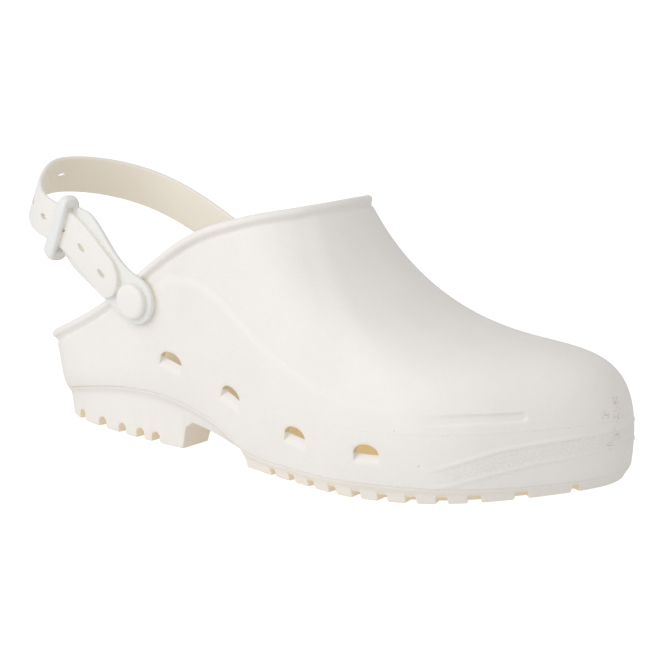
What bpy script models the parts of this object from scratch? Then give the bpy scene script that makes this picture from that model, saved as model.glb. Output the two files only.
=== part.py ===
"""White moulded work clog for the right foot, with a heel strap.

The toe points along +X, the outer side of the foot faces -Y and the floor is Z = 0.
Sizes are in metres. Shapes are first laid out from the back of the heel seat, and
the whole shoe is centred over its own footprint at the end.
"""
from collections import namedtuple
from math import cos, hypot, pi, radians, sin

import bmesh
import bpy
from mathutils import Matrix, Vector

# Driving dimensions
LENGTH = 0.290
HALF_BALL = 0.051
INSTEP = 0.114
WALL = 0.0030
FIT_GAP = 0.0003
RIBS = 64

# Sole
SOLE_INSET = 0.0018
SOLE_DRAFT = 0.0010
FLAT_END = 0.185
TOE_SPRING = 0.0095
HEEL_FRONT = 0.089
FOREFOOT_BACK = 0.124
LUG_DEPTH = 0.007
LUG_HEIGHT = 0.0042

# Footbed, with its ease inside the wall
FOOTBED = 0.0040
FOOTBED_EASE = 0.0012
FOOTBED_SEAT = 0.0001

# Relief of the shell
LEDGE_STEP = 0.0011
LEDGE_SOFT = 0.0013
LOWER_RINGS = (0.0, 0.10, 0.28, 0.48, 0.68, 0.86)
UPPER_RINGS = (0.14, 0.32, 0.50, 0.68, 0.85)

# Vents
VENT_WIDTH = 0.0124
VENT_HEIGHT = 0.0042
VENT_REACH = 0.012
ARC_STEPS = 8

# Heel strap
BUTTON_AT = Vector((0.0675, 0.0, 0.0630))
STRAP_TILT = radians(21.4)
WIDTH_WAY = Vector((sin(STRAP_TILT), 0, cos(STRAP_TILT)))
STRAP_REACH = 0.094
TRACK_STEPS = 120
SHORT_STEP = 0.0045
LONG_STEP = 0.0050
STRAP_THICK = 0.0022
LONG_WIDTH = 0.0180
TAIL_END = 0.0090
BEAD_ROOM = 0.0010
SHORT_THICK = 0.0025
SHORT_WIDTH = 0.0205
SHORT_FLARE = 0.0272
SHORT_END = 0.0242
SHOULDER_AT = 0.0400
HEAD_RADIUS = 0.0105
SHANK_RADIUS = 0.0035
BUTTON_RADIUS = 0.0078
BUTTON_RIM = 0.0012
BUTTON_DOME = 0.0030
BUTTON_STEPS = 24
BUCKLE_START = 0.0490
BUCKLE_LENGTH = 0.0075
BUCKLE_WIDTH = 0.0312
BUCKLE_BAR = 0.0026
BUCKLE_CORNER = 0.0022
BUCKLE_SOFT = 0.0006
WINDOW_ROOM = 0.0012
WINDOW_EASE = 0.0026
WINDOW_CORNER = 0.0005
STRAP_BULGE = 0.0020
INNER_BOW = 0.0085
STRAP_CAMBER = 0.0062
CAMBER_TURN = radians(53)
BOW_START = 0.0565
BOW_LENGTH = 0.046
HOLE_LENGTH = 0.0056
HOLE_WIDTH = 0.0024
HOLE_FIRST = 0.0195
HOLE_PITCH = 0.0160
HOLE_COUNT = 7

# Rolled collar: distance back from the rim along each rib, and how far it stands proud
Relief = namedtuple("Relief", "back rise")
RIM_RELIEF = (
    Relief(0.0095, 0.0), Relief(0.0062, 0.0), Relief(0.0050, -0.0005),
    Relief(0.0038, 0.0006), Relief(0.0015, 0.0009), Relief(0.0, 0.0002),
)

# Top of a button from its middle, as shares of its radius and of its dome
Turned = namedtuple("Turned", "out high")
BUTTON_FACE = (
    Turned(0.0, 1.0), Turned(0.50, 0.98), Turned(0.78, 0.93), Turned(0.92, 0.80), Turned(0.98, 0.62),
)

# One row for each rib of the shell, round the foot from the heel by the outer side. A rib
# climbs from the sole line to the collar through three handles.
#   along, side       place of its foot, as shares of LENGTH and HALF_BALL
#   rim_along, rim_side, rim_high   its end on the collar, the height as a share of INSTEP
#   swell, lift       first handle: how far outside the foot and above it
#   crown, crown_high second handle: share of the way in, and height
#   reach, reach_high third handle: share of the way in, and height
#   ledge, step       height of the soft ledge, and how much of its step shows
Rib = namedtuple("Rib", "along side rim_along rim_side rim_high swell lift crown crown_high "
                        "reach reach_high ledge step")
RIB_TABLE = (
    Rib(0.016, 0.000, -0.017, 0.000, 0.303, 0.003, 0.006, 0.50, 0.024, 0.75, 0.029, 0.0250, 0),
    Rib(0.045, -0.555, 0.012, -0.539, 0.316, 0.003, 0.006, 0.50, 0.025, 0.75, 0.031, 0.0300, 0),
    Rib(0.172, -0.765, 0.145, -0.755, 0.491, 0.003, 0.010, 0.40, 0.036, 0.70, 0.046, 0.0560, 0),
    Rib(0.372, -0.794, 0.321, -0.794, 0.825, 0.003, 0.020, 0.30, 0.052, 0.60, 0.075, 0.0760, 1),
    Rib(0.524, -0.912, 0.428, -0.735, 0.943, 0.004, 0.026, 0.10, 0.057, 0.60, 0.086, 0.0530, 1),
    Rib(0.662, -0.951, 0.490, -0.490, 0.982, 0.004, 0.028, 0.10, 0.058, 0.66, 0.072, 0.0420, 1),
    Rib(0.803, -0.755, 0.509, -0.216, 0.988, 0.005, 0.038, 0.09, 0.073, 0.63, 0.046, 0.0420, 1),
    Rib(0.903, -0.284, 0.510, -0.020, 0.984, 0.007, 0.046, 0.11, 0.082, 0.62, 0.034, 0.0435, 1),
    Rib(0.964, 0.333, 0.507, 0.157, 0.978, 0.008, 0.051, 0.12, 0.084, 0.62, 0.026, 0.0450, 0),
    Rib(0.926, 0.804, 0.495, 0.343, 0.963, 0.006, 0.047, 0.10, 0.077, 0.62, 0.028, 0.0440, 1),
    Rib(0.731, 1.000, 0.469, 0.569, 0.936, 0.004, 0.029, 0.10, 0.054, 0.66, 0.055, 0.0420, 1),
    Rib(0.441, 0.784, 0.372, 0.755, 0.807, 0.003, 0.022, 0.20, 0.052, 0.60, 0.073, 0.0660, 1),
    Rib(0.172, 0.745, 0.145, 0.755, 0.491, 0.003, 0.010, 0.40, 0.036, 0.70, 0.046, 0.0560, 0),
    Rib(0.045, 0.555, 0.012, 0.539, 0.316, 0.003, 0.006, 0.50, 0.025, 0.75, 0.031, 0.0300, 0),
)
TOE_ROW = 8

# Height of the line where shell and sole meet, by distance from the heel
Line = namedtuple("Line", "along high")
SOLE_LINE = (
    Line(0.000, 0.0115), Line(0.012, 0.0120), Line(0.030, 0.0168), Line(0.056, 0.0218),
    Line(0.080, 0.0225), Line(0.104, 0.0178), Line(0.116, 0.0138), Line(0.130, 0.0075), Line(0.152, 0.0064),
    Line(0.185, 0.0070), Line(0.224, 0.0092), Line(0.250, 0.0104), Line(0.270, 0.0118),
    Line(0.290, 0.0138),
)

# Slots between the lugs: how many, the distance of the first from the arch or the heel's front,
# the spacing and its growth, the width and its growth
Slots = namedtuple("Slots", "count first pitch stretch width widen")
FOREFOOT_SLOTS = Slots(9, 0.0212, 0.0114, 0.00015, 0.0032, 0.0003)
HEEL_SLOTS = Slots(5, 0.0097, 0.0082, 0.00105, 0.0046, 0.0001)
TOE_SLOTS = Slots(2, 0.1412, 0.0226, 0.0, 0.0060, -0.0026)

# Arch between heel block and forefoot, seen from the side, from below the floor and back to it
ARCH_LINE = (
    Line(HEEL_FRONT, -0.0050), Line(0.0910, 0.0095), Line(0.0950, 0.0125), Line(0.1067, 0.0108),
    Line(0.1277, 0.0063), Line(0.1298, -0.0050),
)

# Vents in the outer wall, by distance from the heel; the inner wall repeats them
Vent = namedtuple("Vent", "along high lean")
VENTS = (
    Vent(0.0870, 0.0408, -14), Vent(0.1235, 0.0324, -20),
    Vent(0.1632, 0.0237, -6), Vent(0.2012, 0.0232, 3),
)

WHITE = (0.87, 0.84, 0.80, 1.0)
STRAP_WHITE = (0.80, 0.79, 0.76, 1.0)


def clear_scene():
    for item in list(bpy.data.objects):
        bpy.data.objects.remove(item, do_unlink=True)


def new_collection(name):
    group = bpy.data.collections.new(name)
    bpy.context.scene.collection.children.link(group)
    return group


def finish(name, colour, roughness):
    material = bpy.data.materials.new(name)
    material.use_nodes = True
    shader = material.node_tree.nodes["Principled BSDF"]
    shader.inputs["Base Color"].default_value = colour
    shader.inputs["Roughness"].default_value = roughness
    shader.inputs["Metallic"].default_value = 0.0
    return material


def add_part(name, mesh, material):
    piece = bpy.data.objects.new(name, mesh)
    PARTS.objects.link(piece)
    piece.parent = SHOE
    mesh.materials.append(material)
    mesh.shade_smooth()
    mesh.set_sharp_from_angle(angle=radians(40))
    return piece


def mesh_from(bm, name):
    mesh = bpy.data.meshes.new(name)
    bmesh.ops.recalc_face_normals(bm, faces=bm.faces)
    bm.to_mesh(mesh)
    bm.free()
    return mesh


def hermite(knots, values, s):
    """Smooth curve through values at rising knots, read at s."""
    last = len(knots) - 1
    i = 0
    while i < last - 1 and s > knots[i + 1]:
        i += 1

    def slope(k):
        a = max(k - 1, 0)
        b = min(k + 1, last)
        return (values[b] - values[a]) / (knots[b] - knots[a])

    span = knots[i + 1] - knots[i]
    f = min(max((s - knots[i]) / span, 0.0), 1.0)
    first = values[i] * (1 + 2 * f) * (1 - f) ** 2 + slope(i) * span * f * (1 - f) ** 2
    second = values[i + 1] * f * f * (3 - 2 * f) - slope(i + 1) * span * f * f * (1 - f)
    return first + second


def sole_line(x):
    return hermite([row.along for row in SOLE_LINE], [row.high for row in SOLE_LINE], x)


def tread(x):
    """Underside of the sole, flat but for the toe spring."""
    rise = max(0.0, (x - FLAT_END) / (LENGTH - FLAT_END))
    return TOE_SPRING * rise ** 1.5


def smooth_step(f):
    f = min(max(f, 0.0), 1.0)
    return f * f * (3 - 2 * f)


def rib_rows():
    """The table's rows, read at RIBS even places round the foot, half on either side."""
    rows = RIB_TABLE[-2:] + RIB_TABLE + RIB_TABLE[:3]
    knots = [0.0]
    for a, b in zip(rows, rows[1:]):
        knots.append(knots[-1] + hypot((b.along - a.along) * LENGTH, (b.side - a.side) * HALF_BALL))
    heel = knots[2]
    toe = knots[2 + TOE_ROW]
    end = knots[2 + len(RIB_TABLE)]
    half = RIBS // 2
    places = [heel + (toe - heel) * k / half for k in range(half)]
    places += [toe + (end - toe) * k / half for k in range(half)]
    columns = list(zip(*rows))
    return [Rib(*[hermite(knots, column, s) for column in columns]) for s in places]


def outline_normals(points):
    """Outward directions in plan at each point of a loop."""
    count = len(points)
    normals = []
    for k in range(count):
        run = points[(k + 1) % count] - points[k - 1]
        normals.append(Vector((run.y, -run.x, 0)).normalized())
    return normals


def rib_handles(row, foot, outward):
    rim = Vector((row.rim_along * LENGTH, row.rim_side * HALF_BALL, row.rim_high * INSTEP))

    def part_way(share, high):
        place = foot.lerp(rim, share)
        return Vector((place.x, place.y, high))

    wall = foot + outward * row.swell + Vector((0, 0, row.lift))
    return foot, wall, part_way(row.crown, row.crown_high), part_way(row.reach, row.reach_high), rim


def on_rib(handles, t):
    u = 1 - t
    weights = (u ** 4, 4 * t * u ** 3, 6 * t * t * u * u, 4 * t ** 3 * u, t ** 4)
    return sum((h * w for h, w in zip(handles, weights)), Vector())


def ledge_place(handles, high):
    """Where on its rib the ledge lies, by halving."""
    low, top = 0.02, 0.9
    for _ in range(24):
        middle = (low + top) / 2
        if on_rib(handles, middle).z < high:
            low = middle
        else:
            top = middle
    return low


def rib_steps(handles, ledge):
    """Places along a rib, with the relief added at each as (place, share of the ledge, rise)."""
    top_run = (handles[4] - handles[3]).length * 4
    side_run = (on_rib(handles, ledge + 0.02) - on_rib(handles, ledge - 0.02)).length / 0.04
    soft = LEDGE_SOFT / side_run
    rim_start = 1 - RIM_RELIEF[0].back / top_run
    base = min(ledge, rim_start - 3 * soft)
    steps = [((base - soft) * f, 0.0, 0.0) for f in LOWER_RINGS]
    steps += [(base - soft, 0.0, 0.0), (base + soft, 1.0, 0.0)]
    steps += [(base + soft + (rim_start - base - soft) * f, 1.0, 0.0) for f in UPPER_RINGS]
    steps += [(1 - relief.back / top_run, 1.0, relief.rise) for relief in RIM_RELIEF]
    return steps


def feet_loop(rows):
    loop = []
    for row in rows:
        x = row.along * LENGTH
        loop.append(Vector((x, row.side * HALF_BALL, sole_line(x))))
    return loop


def shell_grid(rows):
    """Outer face of the shell: for each rib, its points from the sole line to the collar."""
    feet = feet_loop(rows)
    outward = outline_normals(feet)
    plain = []
    relief = []
    for row, foot, direction in zip(rows, feet, outward):
        handles = rib_handles(row, foot, direction)
        steps = rib_steps(handles, ledge_place(handles, row.ledge))
        plain.append([on_rib(handles, place) for place, share, rise in steps])
        step = LEDGE_STEP * min(max(row.step, 0.0), 1.0)
        relief.append([rise - step * share for place, share, rise in steps])
    grid = []
    last = len(plain[0]) - 1
    for k, rib in enumerate(plain):
        column = []
        for j, point in enumerate(rib):
            along = plain[(k + 1) % RIBS][j] - plain[k - 1][j]
            up = rib[min(j + 1, last)] - rib[max(j - 1, 0)]
            column.append(point + along.cross(up).normalized() * relief[k][j])
        grid.append(column)
    return grid


def wall_point(grid, x, high, side):
    """Nearest point of the shell's outer face to a place on one side, and the way it faces."""
    best = None
    for k in range(RIBS):
        for j in range(1, len(grid[k]) - 1):
            point = grid[k][j]
            if point.y * side < 0:
                continue
            away = hypot(point.x - x, point.z - high)
            if best is None or away < best[0]:
                along = grid[(k + 1) % RIBS][j] - grid[k - 1][j]
                up = grid[k][j + 1] - grid[k][j - 1]
                best = (away, point, along.cross(up).normalized())
    away, point, facing = best
    shift = Vector((x - point.x, 0, high - point.z))
    shift.y = -(facing.x * shift.x + facing.z * shift.z) / facing.y
    return point + shift, facing


def loop_solid(name, rings):
    """Closed solid from stacked loops, its two ends filled by rungs from side to side."""
    bm = bmesh.new()
    loops = [[bm.verts.new(point) for point in ring] for ring in rings]
    count = len(rings[0])
    for lower, upper in zip(loops, loops[1:]):
        for k in range(count):
            n = (k + 1) % count
            bm.faces.new((lower[k], lower[n], upper[n], upper[k]))
    for loop, order in ((loops[0], -1), (loops[-1], 1)):
        for k in range(count // 2):
            rung = [loop[k], loop[k + 1], loop[count - k - 1], loop[(count - k) % count]]
            rung = list(dict.fromkeys(rung))
            bm.faces.new(rung[::order])
    return mesh_from(bm, name)


def inset_loop(loop, inset, height):
    normals = outline_normals(loop)
    ring = []
    for point, normal in zip(loop, normals):
        place = point - normal * inset
        ring.append(Vector((place.x, place.y, height(place.x))))
    return ring


def flat_prism(name, points, half_depth, matrix):
    """Closed flat outline, extruded both ways and made a mesh object."""
    curve = bpy.data.curves.new(name, "CURVE")
    curve.dimensions = "2D"
    curve.fill_mode = "BOTH"
    curve.extrude = half_depth
    spline = curve.splines.new("POLY")
    spline.points.add(len(points) - 1)
    for slot, (x, y) in zip(spline.points, points):
        slot.co = (x, y, 0, 1)
    spline.use_cyclic_u = True
    shape = bpy.data.objects.new(name, curve)
    CUTTERS.objects.link(shape)
    shape.matrix_world = matrix
    bpy.context.view_layer.update()
    depsgraph = bpy.context.evaluated_depsgraph_get()
    mesh = bpy.data.meshes.new_from_object(shape.evaluated_get(depsgraph))
    bpy.data.objects.remove(shape)
    bm = bmesh.new()
    bm.from_mesh(mesh)
    bmesh.ops.remove_doubles(bm, verts=bm.verts, dist=0.00001)
    bmesh.ops.recalc_face_normals(bm, faces=bm.faces)
    bm.to_mesh(mesh)
    bm.free()
    prism = bpy.data.objects.new(name, mesh)
    prism.matrix_world = matrix
    return prism


def add_cutter(group, name, points, half_depth, matrix):
    cutter = flat_prism(name, points, half_depth, matrix)
    group.objects.link(cutter)
    cutter.parent = SHOE
    cutter.hide_render = True
    cutter.display_type = "WIRE"
    return cutter


def cutter_group(name):
    group = bpy.data.collections.new(name)
    CUTTERS.children.link(group)
    return group


def cut(piece, group):
    boolean = piece.modifiers.new("cut_" + group.name, "BOOLEAN")
    boolean.operation = "DIFFERENCE"
    boolean.solver = "EXACT"
    boolean.operand_type = "COLLECTION"
    boolean.collection = group


def facing_matrix(place, facing, lean=0.0):
    """Frame with z along a facing, x level and turned by lean degrees."""
    across = Vector((0, 0, 1)).cross(facing).normalized()
    up = facing.cross(across)
    frame = Matrix((across, up, facing)).transposed().to_4x4()
    return Matrix.Translation(place) @ frame @ Matrix.Rotation(radians(lean), 4, "Z")


def make_upper(grid, material):
    bm = bmesh.new()
    columns = [[bm.verts.new(point) for point in rib] for rib in grid]
    for k in range(RIBS):
        here = columns[k]
        after = columns[(k + 1) % RIBS]
        for j in range(len(here) - 1):
            bm.faces.new((here[j], after[j], after[j + 1], here[j + 1]))
    mesh = bpy.data.meshes.new("upper")
    bm.to_mesh(mesh)
    bm.free()
    upper = add_part("upper", mesh, material)
    shell = upper.modifiers.new("wall", "SOLIDIFY")
    shell.thickness = WALL
    shell.offset = -1
    shell.use_even_offset = True
    vents = cutter_group("vents")
    dome = []
    for k in range(ARC_STEPS + 1):
        turn = pi * k / ARC_STEPS
        dome.append((VENT_WIDTH / 2 * cos(turn), VENT_HEIGHT * (sin(turn) - 0.5)))
    for side in (-1, 1):
        for number, vent in enumerate(VENTS):
            place, facing = wall_point(grid, vent.along, vent.high, side)
            frame = facing_matrix(place, facing, vent.lean * -side)
            add_cutter(vents, f"vent_{side}_{number}", dome, VENT_REACH, frame)
    cut(upper, vents)
    return upper


def make_sole(feet, material):
    line = inset_loop(feet, SOLE_INSET, lambda x: sole_line(x) - FIT_GAP)
    ground = inset_loop(feet, SOLE_INSET + SOLE_DRAFT, tread)
    sole = add_part("sole", loop_solid("sole", [ground, line]), material)
    grooves = cutter_group("sole_grooves")
    side_view = Matrix.Rotation(pi / 2, 4, "X")
    add_cutter(grooves, "arch", ARCH_LINE, 2 * HALF_BALL, side_view)
    lug_slots(grooves, ground)
    cut(sole, grooves)
    return sole


def slot_outline(width):
    """Slot with a round top that runs out below the tread."""
    radius = width / 2
    points = []
    for k in range(ARC_STEPS + 1):
        turn = pi * k / ARC_STEPS
        points.append((radius * cos(turn), LUG_HEIGHT - radius + radius * sin(turn)))
    return points + [(-radius, -LUG_HEIGHT), (radius, -LUG_HEIGHT)]


def walk_slots(group, name, edge, slots):
    """Cuts slots into a run of the tread's edge, each a distance from the run's start."""
    walked = 0.0
    number = 0
    for a, b in zip(edge, edge[1:]):
        run = b[0] - a[0]
        while number < slots.count:
            wanted = slots.first + slots.pitch * number + slots.stretch * number ** 2
            if wanted > walked + run.length:
                break
            share = (wanted - walked) / run.length
            frame = facing_matrix(a[0].lerp(b[0], share), a[1].lerp(b[1], share).normalized())
            outline = slot_outline(slots.width + slots.widen * number)
            add_cutter(group, f"{name}_{number}", outline, LUG_DEPTH, frame)
            number += 1
        walked += run.length


def lug_slots(group, ground):
    """Slots between the lugs, walked forwards from the arch and back from the heel's front."""
    edge = list(zip(ground, outline_normals(ground)))
    half = RIBS // 2
    for side, run in (("outer", edge[:half + 1]), ("inner", [edge[-k] for k in range(half + 1)])):
        forefoot = [step for step in run if step[0].x > FOREFOOT_BACK]
        heel = [step for step in reversed(run) if step[0].x < HEEL_FRONT]
        walk_slots(group, f"lug_{side}", forefoot, FOREFOOT_SLOTS)
        walk_slots(group, f"toe_{side}", forefoot, TOE_SLOTS)
        walk_slots(group, f"heel_{side}", heel, HEEL_SLOTS)


def make_insole(feet, material):
    inset = WALL + FOOTBED_EASE
    lower = inset_loop(feet, inset, lambda x: sole_line(x) + FOOTBED_SEAT)
    upper = inset_loop(feet, inset, lambda x: sole_line(x) + FOOTBED)
    return add_part("insole", loop_solid("insole", [lower, upper]), material)


def strap_track(half):
    """Middle of the strap from the outer button round the heel to the inner one.

    Each step holds the distance walked, the place, the way along and the way out.
    """
    rearward = Vector((-cos(STRAP_TILT), 0, sin(STRAP_TILT)))
    across = Vector((0, 1, 0))
    places = []
    for k in range(TRACK_STEPS + 1):
        turn = pi * k / TRACK_STEPS
        bow = INNER_BOW * sin(2 * turn) ** 2 if turn > pi / 2 else 0.0
        camber = STRAP_CAMBER * sin(pi * turn / CAMBER_TURN) ** 2 if turn < CAMBER_TURN else 0.0
        sideways = across * (bow - half * cos(turn)) + WIDTH_WAY * camber
        places.append(BUTTON_AT + rearward * STRAP_REACH * sin(turn) + sideways)
    track = []
    walked = 0.0
    for k, place in enumerate(places):
        along = (places[min(k + 1, TRACK_STEPS)] - places[max(k - 1, 0)]).normalized()
        if track:
            walked += (place - track[-1][1]).length
        track.append((walked, place, along, WIDTH_WAY.cross(along).normalized()))
    return track


def on_track(track, s):
    """Place, way along and way out at a distance from the outer button; straight past the ends."""
    if s <= 0:
        walked, place, along, out = track[0]
        return place + along * s, along, out
    if s >= track[-1][0]:
        walked, place, along, out = track[-1]
        return place + along * (s - walked), along, out
    k = 1
    while track[k][0] < s:
        k += 1
    f = (s - track[k - 1][0]) / (track[k][0] - track[k - 1][0])
    mixed = [a.lerp(b, f) for a, b in zip(track[k - 1][1:], track[k][1:])]
    return mixed[0], mixed[1].normalized(), mixed[2].normalized()


def strap_band(name, track, places, half_width, lift, thick, material):
    """Strap along the track: an open band with Solidify, lifted off the track's middle."""
    bm = bmesh.new()
    rows = []
    for s in places:
        place, along, out = on_track(track, s)
        middle = place + out * lift(s)
        half = half_width(s)
        rows.append([bm.verts.new(middle + WIDTH_WAY * half * f) for f in (-1, -0.5, 0.5, 1)])
    for here, after in zip(rows, rows[1:]):
        for j in range(3):
            bm.faces.new((here[j], here[j + 1], after[j + 1], after[j]))
    band = add_part(name, mesh_from(bm, name), material)
    wall = band.modifiers.new("wall", "SOLIDIFY")
    wall.thickness = thick
    wall.offset = 0
    wall.use_even_offset = True
    return band


def round_end(s, end, radius):
    """Half width of a round end at s, for an end that faces back along the track."""
    gone = max(s - end, 0.0)
    if gone >= radius:
        return radius
    return (radius ** 2 - (radius - gone) ** 2) ** 0.5


def end_places(end, radius):
    return [end + radius * share for share in (0.03, 0.12, 0.28, 0.50, 0.75, 1.0)]


def even_places(start, stop, step):
    count = max(1, round((stop - start) / step))
    return [start + (stop - start) * k / count for k in range(count + 1)]


def shank_hole(group, name, track, s):
    place, along, out = on_track(track, s)
    radius = SHANK_RADIUS + FIT_GAP
    turns = [pi * k / ARC_STEPS for k in range(2 * ARC_STEPS)]
    ring = [(radius * cos(turn), radius * sin(turn)) for turn in turns]
    add_cutter(group, name, ring, HEAD_RADIUS, facing_matrix(place, out))


def make_short_strap(track, material):
    head = -HEAD_RADIUS
    end = BUCKLE_START - FIT_GAP
    neck = HEAD_RADIUS

    def half_width(s):
        if s < 0:
            return round_end(s, head, HEAD_RADIUS)
        waist = HEAD_RADIUS + (SHORT_WIDTH / 2 - HEAD_RADIUS) * smooth_step(s / neck)
        flare = smooth_step((s - neck) / (SHOULDER_AT - neck))
        taper = smooth_step((s - SHOULDER_AT) / (end - SHOULDER_AT))
        return waist + (SHORT_FLARE - SHORT_WIDTH) / 2 * flare - (SHORT_FLARE - SHORT_END) / 2 * taper

    def lift(s):
        return 0.0

    places = end_places(head, HEAD_RADIUS) + even_places(SHORT_STEP, end, SHORT_STEP)
    strap = strap_band("strap_short", track, places, half_width, lift, SHORT_THICK, material)
    holes = cutter_group("short_holes")
    shank_hole(holes, "short_head", track, 0.0)
    cut(strap, holes)


def tail_lift(s):
    """How far the long strap lies off the short one's middle: over it, bowed, then in line."""
    over = (SHORT_THICK + STRAP_THICK) / 2 + FIT_GAP
    gone = min(max((s - BOW_START) / BOW_LENGTH, 0.0), 1.0)
    bow = 0.5 - 0.5 * cos(2 * pi * gone)
    return over * (1 - smooth_step(gone)) + STRAP_BULGE * bow


def make_long_strap(track, material):
    stop = track[-1][0] + HEAD_RADIUS
    radius = LONG_WIDTH / 2

    def half_width(s):
        if s > stop - 2 * HEAD_RADIUS:
            head = round_end(stop - s, 0.0, HEAD_RADIUS)
            grown = min((s - stop + 2 * HEAD_RADIUS) / HEAD_RADIUS, 1.0)
            return head if s > stop - HEAD_RADIUS else max(radius, head * grown)
        return round_end(s, TAIL_END, radius)

    places = end_places(TAIL_END, radius)
    places += even_places(TAIL_END + radius + LONG_STEP, stop - 2 * HEAD_RADIUS, LONG_STEP)
    places += even_places(stop - 1.8 * HEAD_RADIUS, stop - 1.2 * HEAD_RADIUS, LONG_STEP)
    places += [stop + TAIL_END - s for s in reversed(end_places(TAIL_END, HEAD_RADIUS))]
    strap = strap_band("strap_long", track, places, half_width, tail_lift, STRAP_THICK, material)
    holes = cutter_group("long_holes")
    turns = [pi * k / ARC_STEPS for k in range(2 * ARC_STEPS)]
    slot = [(HOLE_LENGTH / 2 * cos(turn), HOLE_WIDTH / 2 * sin(turn)) for turn in turns]
    for number in range(HOLE_COUNT):
        s = HOLE_FIRST + HOLE_PITCH * number
        place, along, out = on_track(track, s)
        lifted = place + out * tail_lift(s)
        frame = Matrix((along, out.cross(along), out)).transposed().to_4x4()
        add_cutter(holes, f"hole_{number}", slot, 2 * STRAP_THICK, Matrix.Translation(lifted) @ frame)
    shank_hole(holes, "long_head", track, track[-1][0])
    cut(strap, holes)


def rounded_box(width, low, high, radius, steps=3):
    """Corner points of a box with round corners, as (across, out) pairs."""
    side = width / 2 - radius
    middles = ((side, high - radius), (-side, high - radius), (-side, low + radius), (side, low + radius))
    points = []
    for corner, (x, y) in enumerate(middles):
        for k in range(steps + 1):
            turn = pi / 2 * (corner + k / steps)
            points.append((x + radius * cos(turn), y + radius * sin(turn)))
    return points


def make_buckle(track, material):
    """Square loop: one bar in line with the short strap, the other over the long one."""
    place, along, out = on_track(track, BUCKLE_START + BUCKLE_LENGTH / 2)
    across = -WIDTH_WAY
    ahead = across.cross(out)
    frame = Matrix.Translation(place) @ Matrix((across, out, ahead)).transposed().to_4x4()
    floor = SHORT_THICK / 2
    roof = floor + STRAP_THICK + WINDOW_ROOM
    outer = rounded_box(BUCKLE_WIDTH, floor - BUCKLE_BAR, roof + BUCKLE_BAR, BUCKLE_CORNER)
    inner = rounded_box(LONG_WIDTH + WINDOW_EASE, floor, roof, WINDOW_CORNER)
    loop = flat_prism("buckle_loop", outer, BUCKLE_LENGTH / 2, frame)
    buckle = add_part("buckle", loop.data, material)
    bpy.data.objects.remove(loop)
    buckle.matrix_local = frame
    window = cutter_group("buckle_window")
    add_cutter(window, "window", inner, BUCKLE_LENGTH, frame)
    cut(buckle, window)
    soften = buckle.modifiers.new("round", "BEVEL")
    soften.width = BUCKLE_SOFT
    soften.segments = 1
    soften.limit_method = "ANGLE"
    soften.angle_limit = radians(50)


def make_button(name, track, s, thick, material):
    """Turned stud: a domed head with a rim over the strap, its shank down to the shell."""
    place, along, out = on_track(track, s)
    seat = thick / 2 + FIT_GAP
    profile = [(BUTTON_RADIUS * face.out, seat + BUTTON_DOME * face.high) for face in BUTTON_FACE]
    profile += [(BUTTON_RADIUS, seat + BUTTON_RIM), (BUTTON_RADIUS, seat)]
    profile += [(SHANK_RADIUS, seat), (SHANK_RADIUS, -thick / 2), (0.0, -thick / 2)]
    bm = bmesh.new()
    verts = [bm.verts.new((radius, 0, high)) for radius, high in profile]
    for a, b in zip(verts, verts[1:]):
        bm.edges.new((a, b))
    mesh = bpy.data.meshes.new(name)
    bm.to_mesh(mesh)
    bm.free()
    button = add_part(name, mesh, material)
    turn = button.modifiers.new("turn", "SCREW")
    turn.axis = "Z"
    turn.steps = BUTTON_STEPS
    turn.render_steps = BUTTON_STEPS
    turn.use_merge_vertices = True
    turn.merge_threshold = 0.00001
    button.matrix_local = facing_matrix(place, out)


def centre_shoe():
    """Moves the shoe so that its box stands centred on the origin."""
    bpy.context.view_layer.update()
    depsgraph = bpy.context.evaluated_depsgraph_get()
    low = Vector((1, 1, 1))
    high = -low
    for piece in PARTS.objects:
        if piece.type != "MESH":
            continue
        solid = piece.evaluated_get(depsgraph)
        for vert in solid.data.vertices:
            place = solid.matrix_world @ vert.co
            low = Vector(map(min, low, place))
            high = Vector(map(max, high, place))
    SHOE.location = Vector((-(low.x + high.x) / 2, -(low.y + high.y) / 2, -low.z))
    bpy.context.view_layer.update()


clear_scene()
PARTS = new_collection("clog")
CUTTERS = new_collection("cutters")
SHOE = bpy.data.objects.new("shoe", None)
PARTS.objects.link(SHOE)
MOULDED = finish("moulded_white", WHITE, 0.55)
STRAP = finish("strap_white", STRAP_WHITE, 0.45)

RIB_ROWS = rib_rows()
SHELL = shell_grid(RIB_ROWS)
FEET = feet_loop(RIB_ROWS)
make_upper(SHELL, MOULDED)
make_sole(FEET, MOULDED)
make_insole(FEET, MOULDED)

WALL_AT_BUTTON = wall_point(SHELL, BUTTON_AT.x, BUTTON_AT.z, -1)[0]
TRACK = strap_track(abs(WALL_AT_BUTTON.y) + BEAD_ROOM + FIT_GAP + SHORT_THICK / 2)
make_short_strap(TRACK, STRAP)
make_long_strap(TRACK, STRAP)
make_buckle(TRACK, STRAP)
make_button("button_outer", TRACK, 0.0, SHORT_THICK, STRAP)
make_button("button_inner", TRACK, TRACK[-1][0], STRAP_THICK, STRAP)
centre_shoe()
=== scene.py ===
from collections import namedtuple
from math import cos, hypot, pi, radians, sin, sqrt

import bmesh
import bpy
from mathutils import Matrix, Vector


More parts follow.
